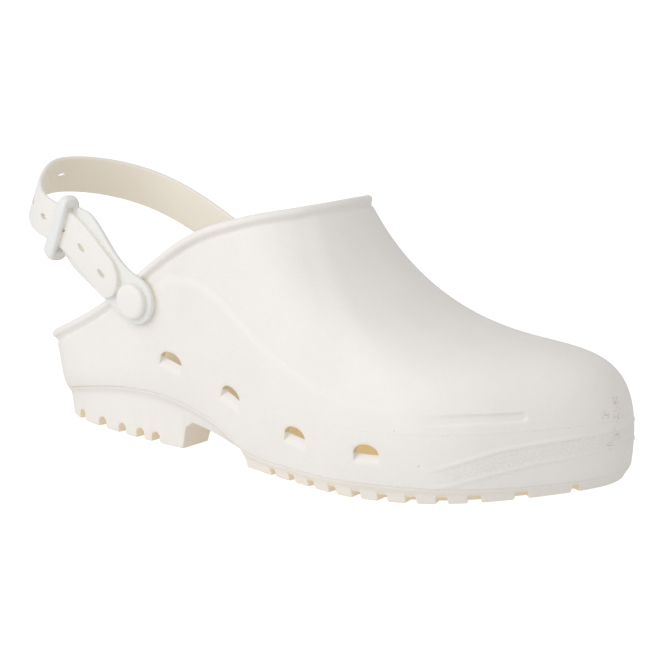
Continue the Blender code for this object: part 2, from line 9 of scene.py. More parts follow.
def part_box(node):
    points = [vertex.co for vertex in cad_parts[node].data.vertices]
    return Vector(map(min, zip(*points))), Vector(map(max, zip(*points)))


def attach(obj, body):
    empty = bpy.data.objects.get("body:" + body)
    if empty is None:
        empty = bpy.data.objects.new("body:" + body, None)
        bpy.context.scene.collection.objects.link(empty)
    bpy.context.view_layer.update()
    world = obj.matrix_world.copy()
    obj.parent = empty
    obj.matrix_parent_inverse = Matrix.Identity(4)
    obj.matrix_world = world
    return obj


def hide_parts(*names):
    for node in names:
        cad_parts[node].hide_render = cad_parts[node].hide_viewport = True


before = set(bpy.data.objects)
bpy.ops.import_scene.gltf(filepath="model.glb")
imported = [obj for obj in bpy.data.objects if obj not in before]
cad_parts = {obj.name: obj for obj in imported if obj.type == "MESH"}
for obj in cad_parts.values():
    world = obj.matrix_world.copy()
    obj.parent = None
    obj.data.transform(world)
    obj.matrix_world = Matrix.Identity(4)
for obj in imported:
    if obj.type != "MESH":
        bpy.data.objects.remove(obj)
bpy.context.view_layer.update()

# Sizes shared with the solids
LENGTH = 0.290
HALF_BALL = 0.051
INSTEP = 0.114
WALL = 0.0030
FIT_GAP = 0.0003
RIBS = 64
SOLE_INSET = 0.0018
SOLE_DRAFT = 0.0010
FLAT_END = 0.185
TOE_SPRING = 0.0095
HEEL_FRONT = 0.089
FOREFOOT_BACK = 0.124
LUG_DEPTH = 0.007
FOOTBED = 0.0040
FOOTBED_EASE = 0.0012
FOOTBED_SEAT = 0.0001
LEDGE_STEP = 0.0011
VENT_WIDTH = 0.0124
VENT_HEIGHT = 0.0042
VENT_REACH = 0.012
BUTTON_AT = Vector((0.0675, 0.0, 0.0630))
STRAP_TILT = radians(21.4)
WIDTH_WAY = Vector((sin(STRAP_TILT), 0, cos(STRAP_TILT)))
STRAP_REACH = 0.094
STRAP_THICK = 0.0022
LONG_WIDTH = 0.0180
TAIL_END = 0.0090
SHORT_THICK = 0.0025
SHORT_WIDTH = 0.0205
SHORT_FLARE = 0.0272
SHORT_END = 0.0242
SHOULDER_AT = 0.0400
HEAD_RADIUS = 0.0105
SHANK_RADIUS = 0.0035
BUTTON_RADIUS = 0.0078
BUTTON_DOME = 0.0030
BUCKLE_START = 0.0490
BUCKLE_LENGTH = 0.0075
BUCKLE_WIDTH = 0.0312
BUCKLE_BAR = 0.0026
BUCKLE_CORNER = 0.0034
WINDOW_ROOM = 0.0012
WINDOW_EASE = 0.0026
WINDOW_CORNER = 0.0005
WINDOW_SNUG = 0.0005
STRAP_BULGE = 0.0020
INNER_BOW = 0.0085
STRAP_CAMBER = 0.0062
CAMBER_TURN = radians(53)
BOW_START = 0.0565
BOW_LENGTH = 0.046
HOLE_LENGTH = 0.0056
HOLE_WIDTH = 0.0024
HOLE_FIRST = 0.0195
HOLE_PITCH = 0.0160
HOLE_COUNT = 7

# Ribs of the shell round the foot from the heel by the outer side
Rib = namedtuple("Rib", "along side rim_along rim_side rim_high swell lift crown crown_high "
                        "reach reach_high ledge step")
RIB_TABLE = (
    Rib(0.016, 0.000, -0.017, 0.000, 0.303, 0.003, 0.006, 0.50, 0.024, 0.75, 0.029, 0.0250, 0),
    Rib(0.045, -0.555, 0.012, -0.539, 0.316, 0.003, 0.006, 0.50, 0.025, 0.75, 0.031, 0.0300, 0),
    Rib(0.172, -0.765, 0.145, -0.755, 0.491, 0.003, 0.010, 0.40, 0.036, 0.70, 0.046, 0.0560, 0),
    Rib(0.372, -0.794, 0.321, -0.794, 0.825, 0.003, 0.020, 0.30, 0.052, 0.60, 0.075, 0.0760, 1),
    Rib(0.524, -0.912, 0.428, -0.735, 0.943, 0.004, 0.026, 0.10, 0.057, 0.60, 0.086, 0.0530, 1),
    Rib(0.662, -0.951, 0.490, -0.490, 0.982, 0.004, 0.028, 0.10, 0.058, 0.66, 0.072, 0.0420, 1),
    Rib(0.803, -0.755, 0.509, -0.216, 0.988, 0.005, 0.038, 0.09, 0.073, 0.63, 0.046, 0.0420, 1),
    Rib(0.903, -0.284, 0.510, -0.020, 0.984, 0.007, 0.046, 0.11, 0.082, 0.62, 0.034, 0.0435, 1),
    Rib(0.964, 0.333, 0.507, 0.157, 0.978, 0.008, 0.051, 0.12, 0.084, 0.62, 0.026, 0.0450, 0),
    Rib(0.926, 0.804, 0.495, 0.343, 0.963, 0.006, 0.047, 0.10, 0.077, 0.62, 0.028, 0.0440, 1),
    Rib(0.731, 1.000, 0.469, 0.569, 0.936, 0.004, 0.029, 0.10, 0.054, 0.66, 0.055, 0.0420, 1),
    Rib(0.441, 0.784, 0.372, 0.755, 0.807, 0.003, 0.022, 0.20, 0.052, 0.60, 0.073, 0.0660, 1),
    Rib(0.172, 0.745, 0.145, 0.755, 0.491, 0.003, 0.010, 0.40, 0.036, 0.70, 0.046, 0.0560, 0),
    Rib(0.045, 0.555, 0.012, 0.539, 0.316, 0.003, 0.006, 0.50, 0.025, 0.75, 0.031, 0.0300, 0),
)
TOE_ROW = 8

Line = namedtuple("Line", "along high")
SOLE_LINE = (
    Line(0.000, 0.0115), Line(0.012, 0.0120), Line(0.030, 0.0168), Line(0.056, 0.0218),
    Line(0.080, 0.0225), Line(0.104, 0.0178), Line(0.116, 0.0138), Line(0.130, 0.0075),
    Line(0.152, 0.0064), Line(0.185, 0.0070), Line(0.224, 0.0092), Line(0.250, 0.0104),
    Line(0.270, 0.0118), Line(0.290, 0.0138),
)
ARCH_LINE = (
    Line(HEEL_FRONT, -0.0050), Line(0.0910, 0.0095), Line(0.0950, 0.0125), Line(0.1067, 0.0108),
    Line(0.1277, 0.0063), Line(0.1298, -0.0050),
)
ARCH_EASES = (-0.0006, -0.0003, 0.0, 0.0003, 0.0006)
Slots = namedtuple("Slots", "count first pitch stretch width widen")
FOREFOOT_SLOTS = Slots(9, 0.0212, 0.0114, 0.00015, 0.0032, 0.0003)
HEEL_SLOTS = Slots(5, 0.0097, 0.0082, 0.00105, 0.0046, 0.0001)
TOE_SLOTS = Slots(2, 0.1412, 0.0226, 0.0, 0.0060, -0.0026)
Vent = namedtuple("Vent", "along high lean")
VENTS = (
    Vent(0.0870, 0.0408, -14), Vent(0.1235, 0.0324, -20),
    Vent(0.1632, 0.0237, -6), Vent(0.2012, 0.0232, 3),
)

# Relief that only the visible shell carries, by distance from the toe and height
BAND_TOP = (Line(0.0, 0.0326), Line(0.0055, 0.0324), Line(0.024, 0.0310), Line(0.0385, 0.0292),
            Line(0.0505, 0.0270), Line(0.0705, 0.0202), Line(0.088, 0.0140))
BAND_LOW = (Line(0.0, 0.0252), Line(0.0065, 0.0248), Line(0.026, 0.0226), Line(0.0385, 0.0207),
            Line(0.0575, 0.0158), Line(0.0705, 0.0115), Line(0.088, 0.0080))
BAND_START = 0.086
BAND_FADE = 0.020
BAND_EDGE = 0.0008
BORDER_WIDTH = 0.0013
BORDER_RISE = 0.00042
# Share of the border's rise at the toe's tip, where it starts to grow, and over which run
TIP_BORDER = 0.3
TIP_START = 0.006
TIP_RUN = 0.020
PARTING_LINE = (Line(0.0, 0.0363), Line(0.012, 0.0362), Line(0.033, 0.0356), Line(0.0525, 0.0344),
                Line(0.0705, 0.0335), Line(0.0895, 0.0320), Line(0.1035, 0.0313), Line(0.1235, 0.0315))
# Where the line's mark fades and how far it is spread there, then the line's rise, width and end
PARTING_FADE = (0.090, 0.122)
PARTING_FAINT = 12
PARTING_RISE = 0.00008
PARTING_WIDE = 0.0006
PARTING_END = 0.135
PARTING_OUT = 0.020
# The parting line's mark is a height off the line in millimetres, and this where there is no line
MILLIMETRES = 1000
OFF_LINE = 9.0
RECESS_TOP = (Line(0.036, 0.0433), Line(0.045, 0.0427), Line(0.058, 0.0422), Line(0.0695, 0.0411),
              Line(0.084, 0.0394), Line(0.104, 0.0372))
RECESS_END = 0.0362
RECESS_FADE = 0.086
RECESS_TALL = 0.0046
RECESS_DEEP = 0.0009
# Run of the recess's edge above, what it gains below, and the run in which the recess ends
RECESS_CRISP = 0.0009
RECESS_SOFT = 0.0020
SOFT_START = 0.1
RECESS_OUT = 0.030
# The ledge is eased and shown at part of the solids' step, and it ends towards the toe
LEDGE_EASE = 0.0024
LEDGE_SHOWN = 0.8
LEDGE_GONE = (0.196, 0.222)
# Round of the shell's lower edge, the soft turn at the vents' edges, and the pocket below each vent
HEM_ROUND = 0.0004
VENT_SOFT = 0.0004
VENT_EDGE = 0.0011
VENT_FACETS = 48
POCKET_SHARE = 0.985
POCKET_LAP = 0.0004
POCKET_DROP = 0.0034
SILL_DROP = 0.0007
# Distances between the shell's ribs: at vents and recess, round the front, elsewhere
FINE_RIB = 0.0006
FRONT_RIB = 0.0015
PLAIN_RIB = 0.0030
FRONT_RUN = 0.100
# Rows of the collar, back from the rim, then its bead and the groove under it
COLLAR_BACK = (0.0080, 0.0072, 0.0066, 0.0061, 0.0057, 0.0053, 0.0049, 0.0045, 0.0042)
GROOVE_AT = 0.0051
GROOVE_WIDE = 0.0010
GROOVE_DEEP = 0.0005
BEAD_PROUD = 0.0012
BEAD_LONG = 0.0020


def clamp(f):
    return min(max(f, 0.0), 1.0)


def smooth_step(f):
    f = clamp(f)
    return f * f * (3 - 2 * f)


def bump(f):
    """One at the middle, none from a width away."""
    return (1 - min(abs(f), 1.0) ** 2) ** 2


def hermite(knots, values, s):
    """Smooth curve through values at rising knots, read at s."""
    last = len(knots) - 1
    i = 0
    while i < last - 1 and s > knots[i + 1]:
        i += 1

    def slope(k):
        a = max(k - 1, 0)
        b = min(k + 1, last)
        return (values[b] - values[a]) / (knots[b] - knots[a])

    span = knots[i + 1] - knots[i]
    f = clamp((s - knots[i]) / span)
    first = values[i] * (1 + 2 * f) * (1 - f) ** 2 + slope(i) * span * f * (1 - f) ** 2
    second = values[i + 1] * f * f * (3 - 2 * f) - slope(i + 1) * span * f * f * (1 - f)
    return first + second


def halve(low, top, short_of, rounds):
    """Place between low and top up to which short_of holds, by halving."""
    for _ in range(rounds):
        middle = (low + top) / 2
        if short_of(middle):
            low = middle
        else:
            top = middle
    return low


def read_line(table, x):
    return hermite([row.along for row in table], [row.high for row in table], x)


def sole_line(x):
    return read_line(SOLE_LINE, x)


def tread(x):
    rise = max(0.0, (x - FLAT_END) / (LENGTH - FLAT_END))
    return TOE_SPRING * rise ** 1.5


def arch(x):
    """Underside of the arch, its corners eased."""
    high = 0.0
    for ease in ARCH_EASES:
        place = x + ease
        level = ARCH_LINE[0].high
        for a, b in zip(ARCH_LINE, ARCH_LINE[1:]):
            if a.along <= place <= b.along:
                level = a.high + (b.high - a.high) * (place - a.along) / (b.along - a.along)
        high += max(level, tread(place)) / len(ARCH_EASES)
    return high


# Ribs and the shell's plain surface
ROWS = RIB_TABLE[-2:] + RIB_TABLE + RIB_TABLE[:3]
KNOTS = [0.0]
for row_a, row_b in zip(ROWS, ROWS[1:]):
    knot_along = (row_b.along - row_a.along) * LENGTH
    knot_aside = (row_b.side - row_a.side) * HALF_BALL
    KNOTS.append(KNOTS[-1] + hypot(knot_along, knot_aside))
COLUMNS = list(zip(*ROWS))
HEEL_S = KNOTS[2]
TOE_S = KNOTS[2 + TOE_ROW]
END_S = KNOTS[2 + len(RIB_TABLE)]
# Steps to a rib's neighbours and along a rib, and the part of a rib that is searched
NEAR = 0.0008
FACING_STEP = 0.004
LEDGE_READ = 0.02
RIB_SPAN = (0.02, 0.9)
# Run over which the table is averaged, wider at the vamp
RUN_SMOOTH = 0.014
RUN_READS = (-0.012, -0.008, -0.004, 0.0, 0.004, 0.008, 0.012)
VAMP_WIDER = 0.55
VAMP_RUN = (0.160, 0.110)


def foot_at(s):
    x = hermite(KNOTS, COLUMNS[0], s) * LENGTH
    y = hermite(KNOTS, COLUMNS[1], s) * HALF_BALL
    return Vector((x, y, sole_line(x)))


def outward_at(s):
    run = foot_at(s + NEAR) - foot_at(s - NEAR)
    return Vector((run.y, -run.x, 0)).normalized()


def hermite_row(s):
    return [hermite(KNOTS, column, s) for column in COLUMNS]


def rib_row(s):
    """The table's values at a place, averaged over a short run so that no crease shows."""
    wider = 1 + VAMP_WIDER * smooth_step((VAMP_RUN[0] - abs(s - TOE_S)) / (VAMP_RUN[0] - VAMP_RUN[1]))
    reads = [(hermite_row(s + away * wider), 1 - abs(away) / RUN_SMOOTH) for away in RUN_READS]
    whole = sum(weight for values, weight in reads)
    return Rib(*[sum(values[k] * weight for values, weight in reads) / whole for k in range(len(COLUMNS))])


def rib_handles(s):
    row = rib_row(s)
    foot = foot_at(s)
    rim = Vector((row.rim_along * LENGTH, row.rim_side * HALF_BALL, row.rim_high * INSTEP))

    def part_way(share, high):
        place = foot.lerp(rim, share)
        return Vector((place.x, place.y, high))

    wall = foot + outward_at(s) * row.swell + Vector((0, 0, row.lift))
    return row, (foot, wall, part_way(row.crown, row.crown_high), part_way(row.reach, row.reach_high), rim)


def on_rib(handles, t):
    u = 1 - t
    weights = (u ** 4, 4 * t * u ** 3, 6 * t * t * u * u, 4 * t ** 3 * u, t ** 4)
    return sum((h * w for h, w in zip(handles, weights)), Vector())


def height_place(handles, high):
    """Where a rib reaches a height."""
    return halve(*RIB_SPAN, lambda t: on_rib(handles, t).z < high, 24)


class Station:
    """One rib of the visible shell, with its neighbours for the way the surface faces."""

    def __init__(self, s):
        self.s = s
        self.row, self.handles = rib_handles(s)
        self.before = rib_handles(s - NEAR)[1]
        self.after = rib_handles(s + NEAR)[1]
        self.from_toe = abs(s - TOE_S)
        self.top_run = (self.handles[4] - self.handles[3]).length * 4
        ledge = height_place(self.handles, self.row.ledge)
        beside = on_rib(self.handles, ledge + LEDGE_READ) - on_rib(self.handles, ledge - LEDGE_READ)
        self.soft = LEDGE_EASE / (beside.length / (2 * LEDGE_READ))
        self.collar = 1 - COLLAR_BACK[0] / self.top_run
        self.base = min(ledge, self.collar - 1.5 * self.soft)
        gone = (self.handles[0].x - LEDGE_GONE[0]) / (LEDGE_GONE[1] - LEDGE_GONE[0])
        self.step = LEDGE_SHOWN * LEDGE_STEP * clamp(self.row.step) * (1 - smooth_step(gone))

    def point(self, t):
        return on_rib(self.handles, t)

    def facing(self, t):
        along = on_rib(self.after, t) - on_rib(self.before, t)
        up = on_rib(self.handles, t + FACING_STEP) - on_rib(self.handles, t - FACING_STEP)
        return along.cross(up).normalized()


def facing_matrix(place, facing, lean=0.0):
    """Frame with z along a facing, x level and turned by lean degrees."""
    across = Vector((0, 0, 1)).cross(facing).normalized()
    up = facing.cross(across)
    turned = Matrix((across, up, facing)).transposed().to_4x4()
    return Matrix.Translation(place) @ turned @ Matrix.Rotation(radians(lean), 4, "Z")


def heel_place(side):
    """The middle of the heel, as the place where the outline of a side starts."""
    return HEEL_S if side < 0 else END_S


def vent_station(vent, side):
    """The rib that a vent's middle lies on."""
    def behind(s):
        handles = rib_handles(s)[1]
        return on_rib(handles, height_place(handles, vent.high)).x < vent.along

    return Station(halve(heel_place(side), TOE_S, behind, 30))


VentPlace = namedtuple("VentPlace", "s frame inverse")
VENT_PLACES = []
for vent_side in (-1, 1):
    for vent_row in VENTS:
        station = vent_station(vent_row, vent_side)
        share = height_place(station.handles, vent_row.high)
        vent_frame = facing_matrix(station.point(share), station.facing(share), vent_row.lean * -vent_side)
        VENT_PLACES.append(VentPlace(station.s, vent_frame, vent_frame.inverted()))


def vent_dip(point, s):
    """How far the wall turns in round the vents' edges."""
    dip = 0.0
    for place in VENT_PLACES:
        if abs(place.s - s) > 1.2 * VENT_WIDTH:
            continue
        local = place.inverse @ point
        if abs(local.z) > VENT_REACH:
            continue
        beside = abs(local.x) - VENT_WIDTH / 2
        above = local.y + VENT_HEIGHT / 2
        if above > 0:
            arched = hypot(local.x / (VENT_WIDTH / 2), above / VENT_HEIGHT) - 1
            away = arched * VENT_HEIGHT
        else:
            away = max(beside, -above - POCKET_DROP)
        dip = max(dip, VENT_SOFT * clamp(1 - max(away, 0.0) / VENT_EDGE) ** 2)
    return dip


def band_marks(from_toe, high):
    """Share inside the stippled band, and the rise of its borders."""
    shown = smooth_step((BAND_START - from_toe) / BAND_FADE)
    if shown == 0:
        return 0.0, 0.0
    under = read_line(BAND_TOP, from_toe) - high
    over = high - read_line(BAND_LOW, from_toe)
    inside = smooth_step(under / BAND_EDGE) * smooth_step(over / BAND_EDGE)
    border = max(bump(under / BORDER_WIDTH), bump(over / BORDER_WIDTH))
    tip = TIP_BORDER + (1 - TIP_BORDER) * smooth_step((from_toe - TIP_START) / TIP_RUN)
    return shown * inside, shown * border * BORDER_RISE * tip


def recess_dip(from_toe, high):
    """Long shallow recess along the side of the toe: round at its front, crisp above, soft below."""
    down = read_line(RECESS_TOP, from_toe) - high - RECESS_TALL / 2
    past = RECESS_END + RECESS_TALL / 2 - from_toe
    radius = hypot(past, down) if past > 0 else abs(down)
    inside = RECESS_TALL / 2 - radius
    if inside <= 0 or from_toe > RECESS_FADE:
        return 0.0
    soft = RECESS_CRISP + RECESS_SOFT * smooth_step(down / RECESS_TALL + SOFT_START)
    return RECESS_DEEP * smooth_step(inside / soft) * smooth_step((RECESS_FADE - from_toe) / RECESS_OUT)


# Distances under which points count as one and edges as none, and the angle of a sharp edge
MERGE = 0.000002
SLIVER = 0.000001
SHARP = radians(40)


def close_ends(bm):
    bmesh.ops.holes_fill(bm, edges=[edge for edge in bm.edges if edge.is_boundary])


def slice_off(bm, merge, **plane):
    """Takes off one side of a plane, and closes the cut."""
    whole = list(bm.verts) + list(bm.edges) + list(bm.faces)
    bmesh.ops.bisect_plane(bm, geom=whole, **plane)
    bmesh.ops.remove_doubles(bm, verts=bm.verts, dist=merge)
    close_ends(bm)


def sheet(columns, rows, place, wrap_columns=False, marks=None):
    """A grid laid over places (column, row), its rows joined round, and its columns if wanted."""
    wide = columns if wrap_columns else columns - 1
    bm = bmesh.new()
    bmesh.ops.create_grid(bm, x_segments=wide, y_segments=rows, size=0.5)
    spots = {}
    for vert in bm.verts:
        i = round((vert.co.x + 0.5) * wide) % columns
        j = round((vert.co.y + 0.5) * rows) % rows
        spots[vert] = (i, j)
    if marks:
        for name, values in marks.items():
            layer = bm.loops.layers.float.new(name)
            for face in bm.faces:
                for loop in face.loops:
                    i, j = spots[loop.vert]
                    loop[layer] = values[i][j]
    for vert, (i, j) in spots.items():
        vert.co = place(i, j)
    bmesh.ops.remove_doubles(bm, verts=bm.verts, dist=MERGE)
    bmesh.ops.dissolve_degenerate(bm, edges=bm.edges, dist=SLIVER)
    close_ends(bm)
    bmesh.ops.recalc_face_normals(bm, faces=bm.faces)
    return bm


def to_piece(name, bm, material, sharp=SHARP):
    """Moves a shape into the row frame as a named piece of the shoe."""
    bmesh.ops.translate(bm, verts=bm.verts, vec=HEEL_AT)
    mesh = bpy.data.meshes.new(name)
    bm.to_mesh(mesh)
    bm.free()
    mesh.materials.append(material)
    mesh.shade_smooth()
    mesh.set_sharp_from_angle(angle=sharp)
    piece = bpy.data.objects.new(name, mesh)
    bpy.context.scene.collection.objects.link(piece)
    return piece


def cutter(size, matrix, segments, half=False):
    """Round bar along z, flat below its axis if half, for cutting holes."""
    bm = bmesh.new()
    bmesh.ops.create_cone(bm, cap_ends=True, segments=segments, radius1=1, radius2=1, depth=2)
    if half:
        slice_off(bm, 0.0001, plane_co=(0, 0, 0), plane_no=(0, 1, 0), clear_inner=True)
    bmesh.ops.scale(bm, vec=size, verts=bm.verts)
    bmesh.ops.transform(bm, matrix=matrix, verts=bm.verts)
    bmesh.ops.recalc_face_normals(bm, faces=bm.faces)
    return bm


def pocket_cutter(floor):
    """Wedge under a vent: its floor falls outwards from the hole's sill through the wall."""
    bm = bmesh.new()
    bmesh.ops.create_cube(bm, size=1.0)
    bmesh.ops.scale(bm, vec=(POCKET_SHARE * VENT_WIDTH, 3 * POCKET_DROP, 3 * WALL), verts=bm.verts)
    bmesh.ops.translate(bm, vec=(0, POCKET_LAP - 1.5 * POCKET_DROP, 0), verts=bm.verts)
    slope = Vector((0, -WALL, -POCKET_DROP))
    slice_off(bm, SLIVER, plane_co=(0, -SILL_DROP, -WALL), plane_no=slope, clear_outer=True)
    bmesh.ops.transform(bm, matrix=floor, verts=bm.verts)
    bmesh.ops.recalc_face_normals(bm, faces=bm.faces)
    return bm


def cut(piece, cutters):
    """Cuts holes through a piece; the walls of each take its cutter's material."""
    group = bpy.data.collections.new(piece.name + "_holes")
    bpy.context.scene.collection.children.link(group)
    tools = []
    for number, (bm, material) in enumerate(cutters):
        tool = to_piece(f"{piece.name}_hole_{number}", bm, material)
        bpy.context.scene.collection.objects.unlink(tool)
        group.objects.link(tool)
        tools.append(tool)
    boolean = piece.modifiers.new("holes", "BOOLEAN")
    boolean.operation = "DIFFERENCE"
    boolean.solver = "EXACT"
    boolean.material_mode = "TRANSFER"
    boolean.operand_type = "COLLECTION"
    boolean.collection = group
    bpy.context.view_layer.update()
    depsgraph = bpy.context.evaluated_depsgraph_get()
    mesh = bpy.data.meshes.new_from_object(piece.evaluated_get(depsgraph))
    piece.modifiers.clear()
    old = piece.data
    piece.data = mesh
    mesh.name = piece.name
    bpy.data.meshes.remove(old)
    bm = bmesh.new()
    bm.from_mesh(mesh)
    bmesh.ops.dissolve_degenerate(bm, edges=bm.edges, dist=SLIVER)
    bm.to_mesh(mesh)
    bm.free()
    mesh.set_sharp_from_angle(angle=SHARP)
    for tool in tools:
        bpy.data.objects.remove(tool, do_unlink=True)
    bpy.data.collections.remove(group)


# Shell: rows below, over and above the ledge, turns round the collar's bead, and rows inside
LOWER_COUNT = 58
LEDGE_COUNT = 7
UPPER_COUNT = 36
CAP_TURNS = [radians(a) for a in (-58, -42, -26, -10, 6, 24, 42, 60, 76, 90, 104, 120, 138, 158, 180)]
INNER_COUNT = 26


def upper_places():
    places = [HEEL_S]
    while places[-1] < END_S:
        s = places[-1]
        step = FRONT_RIB if abs(s - TOE_S) < FRONT_RUN else PLAIN_RIB
        at_vent = min(abs(s - place.s) for place in VENT_PLACES) < 0.75 * VENT_WIDTH
        if at_vent or abs(abs(s - TOE_S) - RECESS_END) < RECESS_TALL:
            step = FINE_RIB
        places.append(s + step)
    shrink = (END_S - HEEL_S) / (places[-1] - HEEL_S)
    return [HEEL_S + (s - HEEL_S) * shrink for s in places[:-1]]


def outer_steps(rib):
    """Places along the outside of a rib from the sole line to the collar's bead."""
    low = rib.base - rib.soft
    top = rib.base + rib.soft
    steps = [low * k / LOWER_COUNT for k in range(LOWER_COUNT)]
    steps += [low + (top - low) * k / LEDGE_COUNT for k in range(LEDGE_COUNT)]
    steps += [top + (rib.collar - top) * k / UPPER_COUNT for k in range(UPPER_COUNT)]
    return steps + [1 - back / rib.top_run for back in COLLAR_BACK]


def outer_relief(rib, t, point):
    """Rise of the outer face at a place, with its marks for the material."""
    band, rise = band_marks(rib.from_toe, point.z)
    rise -= rib.step * smooth_step((t - rib.base + rib.soft) / (2 * rib.soft))
    rise -= recess_dip(rib.from_toe, point.z)
    rise -= vent_dip(point, rib.s)
    rise -= GROOVE_DEEP * bump(((1 - t) * rib.top_run - GROOVE_AT) / GROOVE_WIDE)
    above = (point - rib.handles[0]).length
    if above < HEM_ROUND:
        rise -= HEM_ROUND - sqrt(HEM_ROUND ** 2 - (HEM_ROUND - above) ** 2)
    parting = point.z - read_line(PARTING_LINE, min(rib.from_toe, PARTING_LINE[-1].along))
    shown = smooth_step((PARTING_END - rib.from_toe) / PARTING_OUT)
    rise += PARTING_RISE * bump(parting / PARTING_WIDE) * shown
    fade = smooth_step((rib.from_toe - PARTING_FADE[0]) / (PARTING_FADE[1] - PARTING_FADE[0]))
    return rise, band, parting * (1 + PARTING_FAINT * fade)


def upper_column(rib):
    """One closed section through the wall: points, and marks at each."""
    points = []
    bands = []
    partings = []
    insides = []
    for t in outer_steps(rib):
        point = rib.point(t)
        rise, band, parting = outer_relief(rib, t, point)
        points.append(point + rib.facing(t) * rise)
        bands.append(band)
        partings.append(parting * MILLIMETRES)
        insides.append(0.0)
    rim = rib.point(1)
    out = rib.facing(1)
    up = (rib.handles[4] - rib.handles[3]).normalized()
    wide = (WALL + BEAD_PROUD) / 2
    middle = rim - up * BEAD_LONG - out * (WALL - BEAD_PROUD) / 2
    for turn in CAP_TURNS:
        points.append(middle + out * wide * cos(turn) + up * BEAD_LONG * sin(turn))
        insides.append(smooth_step((turn - pi / 2) / (pi / 2)))
    for k in range(INNER_COUNT + 1):
        t = (1 - COLLAR_BACK[-1] / rib.top_run) * (1 - k / INNER_COUNT)
        points.append(rib.point(t) - rib.facing(t) * WALL)
        insides.append(1.0 if k < INNER_COUNT else 0.0)
    spare = len(points) - len(bands)
    return points, bands + [0.0] * spare, partings + [OFF_LINE] * spare, insides


def make_shell(material, hole_material, pocket_material):
    columns = [upper_column(Station(s)) for s in upper_places()]
    marks = {"band": [c[1] for c in columns], "parting": [c[2] for c in columns],
             "inside": [c[3] for c in columns]}
    bm = sheet(len(columns), len(columns[0][0]), lambda i, j: columns[i][0][j], True, marks)
    shell = to_piece("shell", bm, material)
    size = Vector((VENT_WIDTH / 2, VENT_HEIGHT, VENT_REACH))
    cutters = []
    for place in VENT_PLACES:
        floor = place.frame @ Matrix.Translation((0, -VENT_HEIGHT / 2, 0))
        cutters.append((cutter(size, floor, VENT_FACETS, half=True), hole_material))
        cutters.append((pocket_cutter(floor), pocket_material))
    cut(shell, cutters)
    return shell


# Sole and footbed, in sections across the foot
PLAN_STEPS = 110
ARCH_STEP = 0.0003
# First of the close stations at either end of the arch, and their number
HEEL_FRONT_RUN = (HEEL_FRONT - 0.0018, 36)
FOREFOOT_RUN = (FOREFOOT_BACK + 0.0026, 13)
# Cove where the sole's wall meets the shell: inset from the shell's edge, and drop below it
COVE = ((LUG_DEPTH, 0.0), (0.0005, 0.0), (0.0004, 0.0003), (0.0006, 0.0008), (0.0011, 0.0016),
        (SOLE_INSET, 0.0026))
COVE_ROOM = 0.0002
WALL_STEPS = 8
# Notch in the middle of the heel block's front
NOTCH_EDGE = 0.0188
NOTCH_DRAFT = 0.0030
NOTCH_ROWS = (-0.0004, 0.0, NOTCH_DRAFT, NOTCH_DRAFT + 0.0008)
NOTCH_PAST = 0.002
NOTCH_LONG = 0.012
NOTCH_HIGH = 0.0095
# Where along the foot the notch's edges stand at their full inset, with the run in at either end
NOTCH_SPAN = (0.055, 0.110)
NOTCH_RUN = 0.020
PLAIN_STEP = 0.0006
# Run to either side of the toe's row in which the tip is sought
TIP_SEARCH = 0.03


def ground_at(s):
    place = foot_at(s) - outward_at(s) * (SOLE_INSET + SOLE_DRAFT)
    return Vector((place.x, place.y, 0))


def side_place(x, side):
    """Where the outline reaches a distance from the heel, on one side."""
    return halve(heel_place(side), TIP_S, lambda s: foot_at(s).x < x, 40)


def toe_tip():
    """Place of the outline that is furthest from the heel, by thirds."""
    low, top = TOE_S - TIP_SEARCH, TOE_S + TIP_SEARCH
    for _ in range(40):
        a = low + (top - low) / 3
        b = top - (top - low) / 3
        if foot_at(a).x < foot_at(b).x:
            low = a
        else:
            top = b
    return (low + top) / 2


TIP_S = toe_tip()
# Step of the walk along the tread's edge from slot to slot
WALK_STEP = 0.0004


def walk_slots(start, way, slots):
    """Places of slots along the tread's edge, each with its width."""
    found = []
    s = start
    walked = 0.0
    step = WALK_STEP * way
    for number in range(slots.count):
        wanted = slots.first + slots.pitch * number + slots.stretch * number ** 2
        while walked < wanted:
            walked += (ground_at(s + step) - ground_at(s)).length
            s += step
        found.append((s, slots.width + slots.widen * number))
    return found


def side_slots(side):
    """Slots of one side, walked from the first of the solids' ribs past the arch and the heel's front."""
    half = RIBS // 2
    start = heel_place(side)
    ribs = [start + (TOE_S - start) * k / half for k in range(half + 1)]
    way = -side
    front = next(s for s in ribs if ground_at(s).x > FOREFOOT_BACK)
    heel = next(s for s in reversed(ribs) if ground_at(s).x < HEEL_FRONT)
    found = walk_slots(front, way, FOREFOOT_SLOTS)
    found += walk_slots(front, way, TOE_SLOTS)
    return found + walk_slots(heel, -way, HEEL_SLOTS)


# Rounds at the lugs' edges and in the slots, and shares of lug and slot at which stations stand
LUG_ROUND = 0.0008
SLOT_ROUND = 0.0002
LUG_SHARES = (1.4, 0.9, 0.5, 0.2)
SLOT_SHARES = (0.96, 0.85, 0.65, 0.35)
# Insets of the rows under a lug, and half the run of a step that stays crisp
LUG_INSETS = (0.0045, 0.0062)
CRISP = 0.00004
# Heights of the slots, and the round of a forefoot slot's corner as a share of its half width
HEEL_SLOT_HIGH = 0.0048
FRONT_SLOT_HIGH = 0.0030
SLOT_CORNER = 0.30
SLOTS_BY_SIDE = {side: side_slots(side) for side in (-1, 1)}


def slot_offsets(width):
    """Distances from a slot's middle that its round top and lug corners need."""
    half = width / 2
    offsets = [half + LUG_ROUND * f for f in LUG_SHARES] + [half + CRISP, half - CRISP]
    offsets += [half * f for f in SLOT_SHARES]
    return [0.0] + offsets + [-offset for offset in offsets]


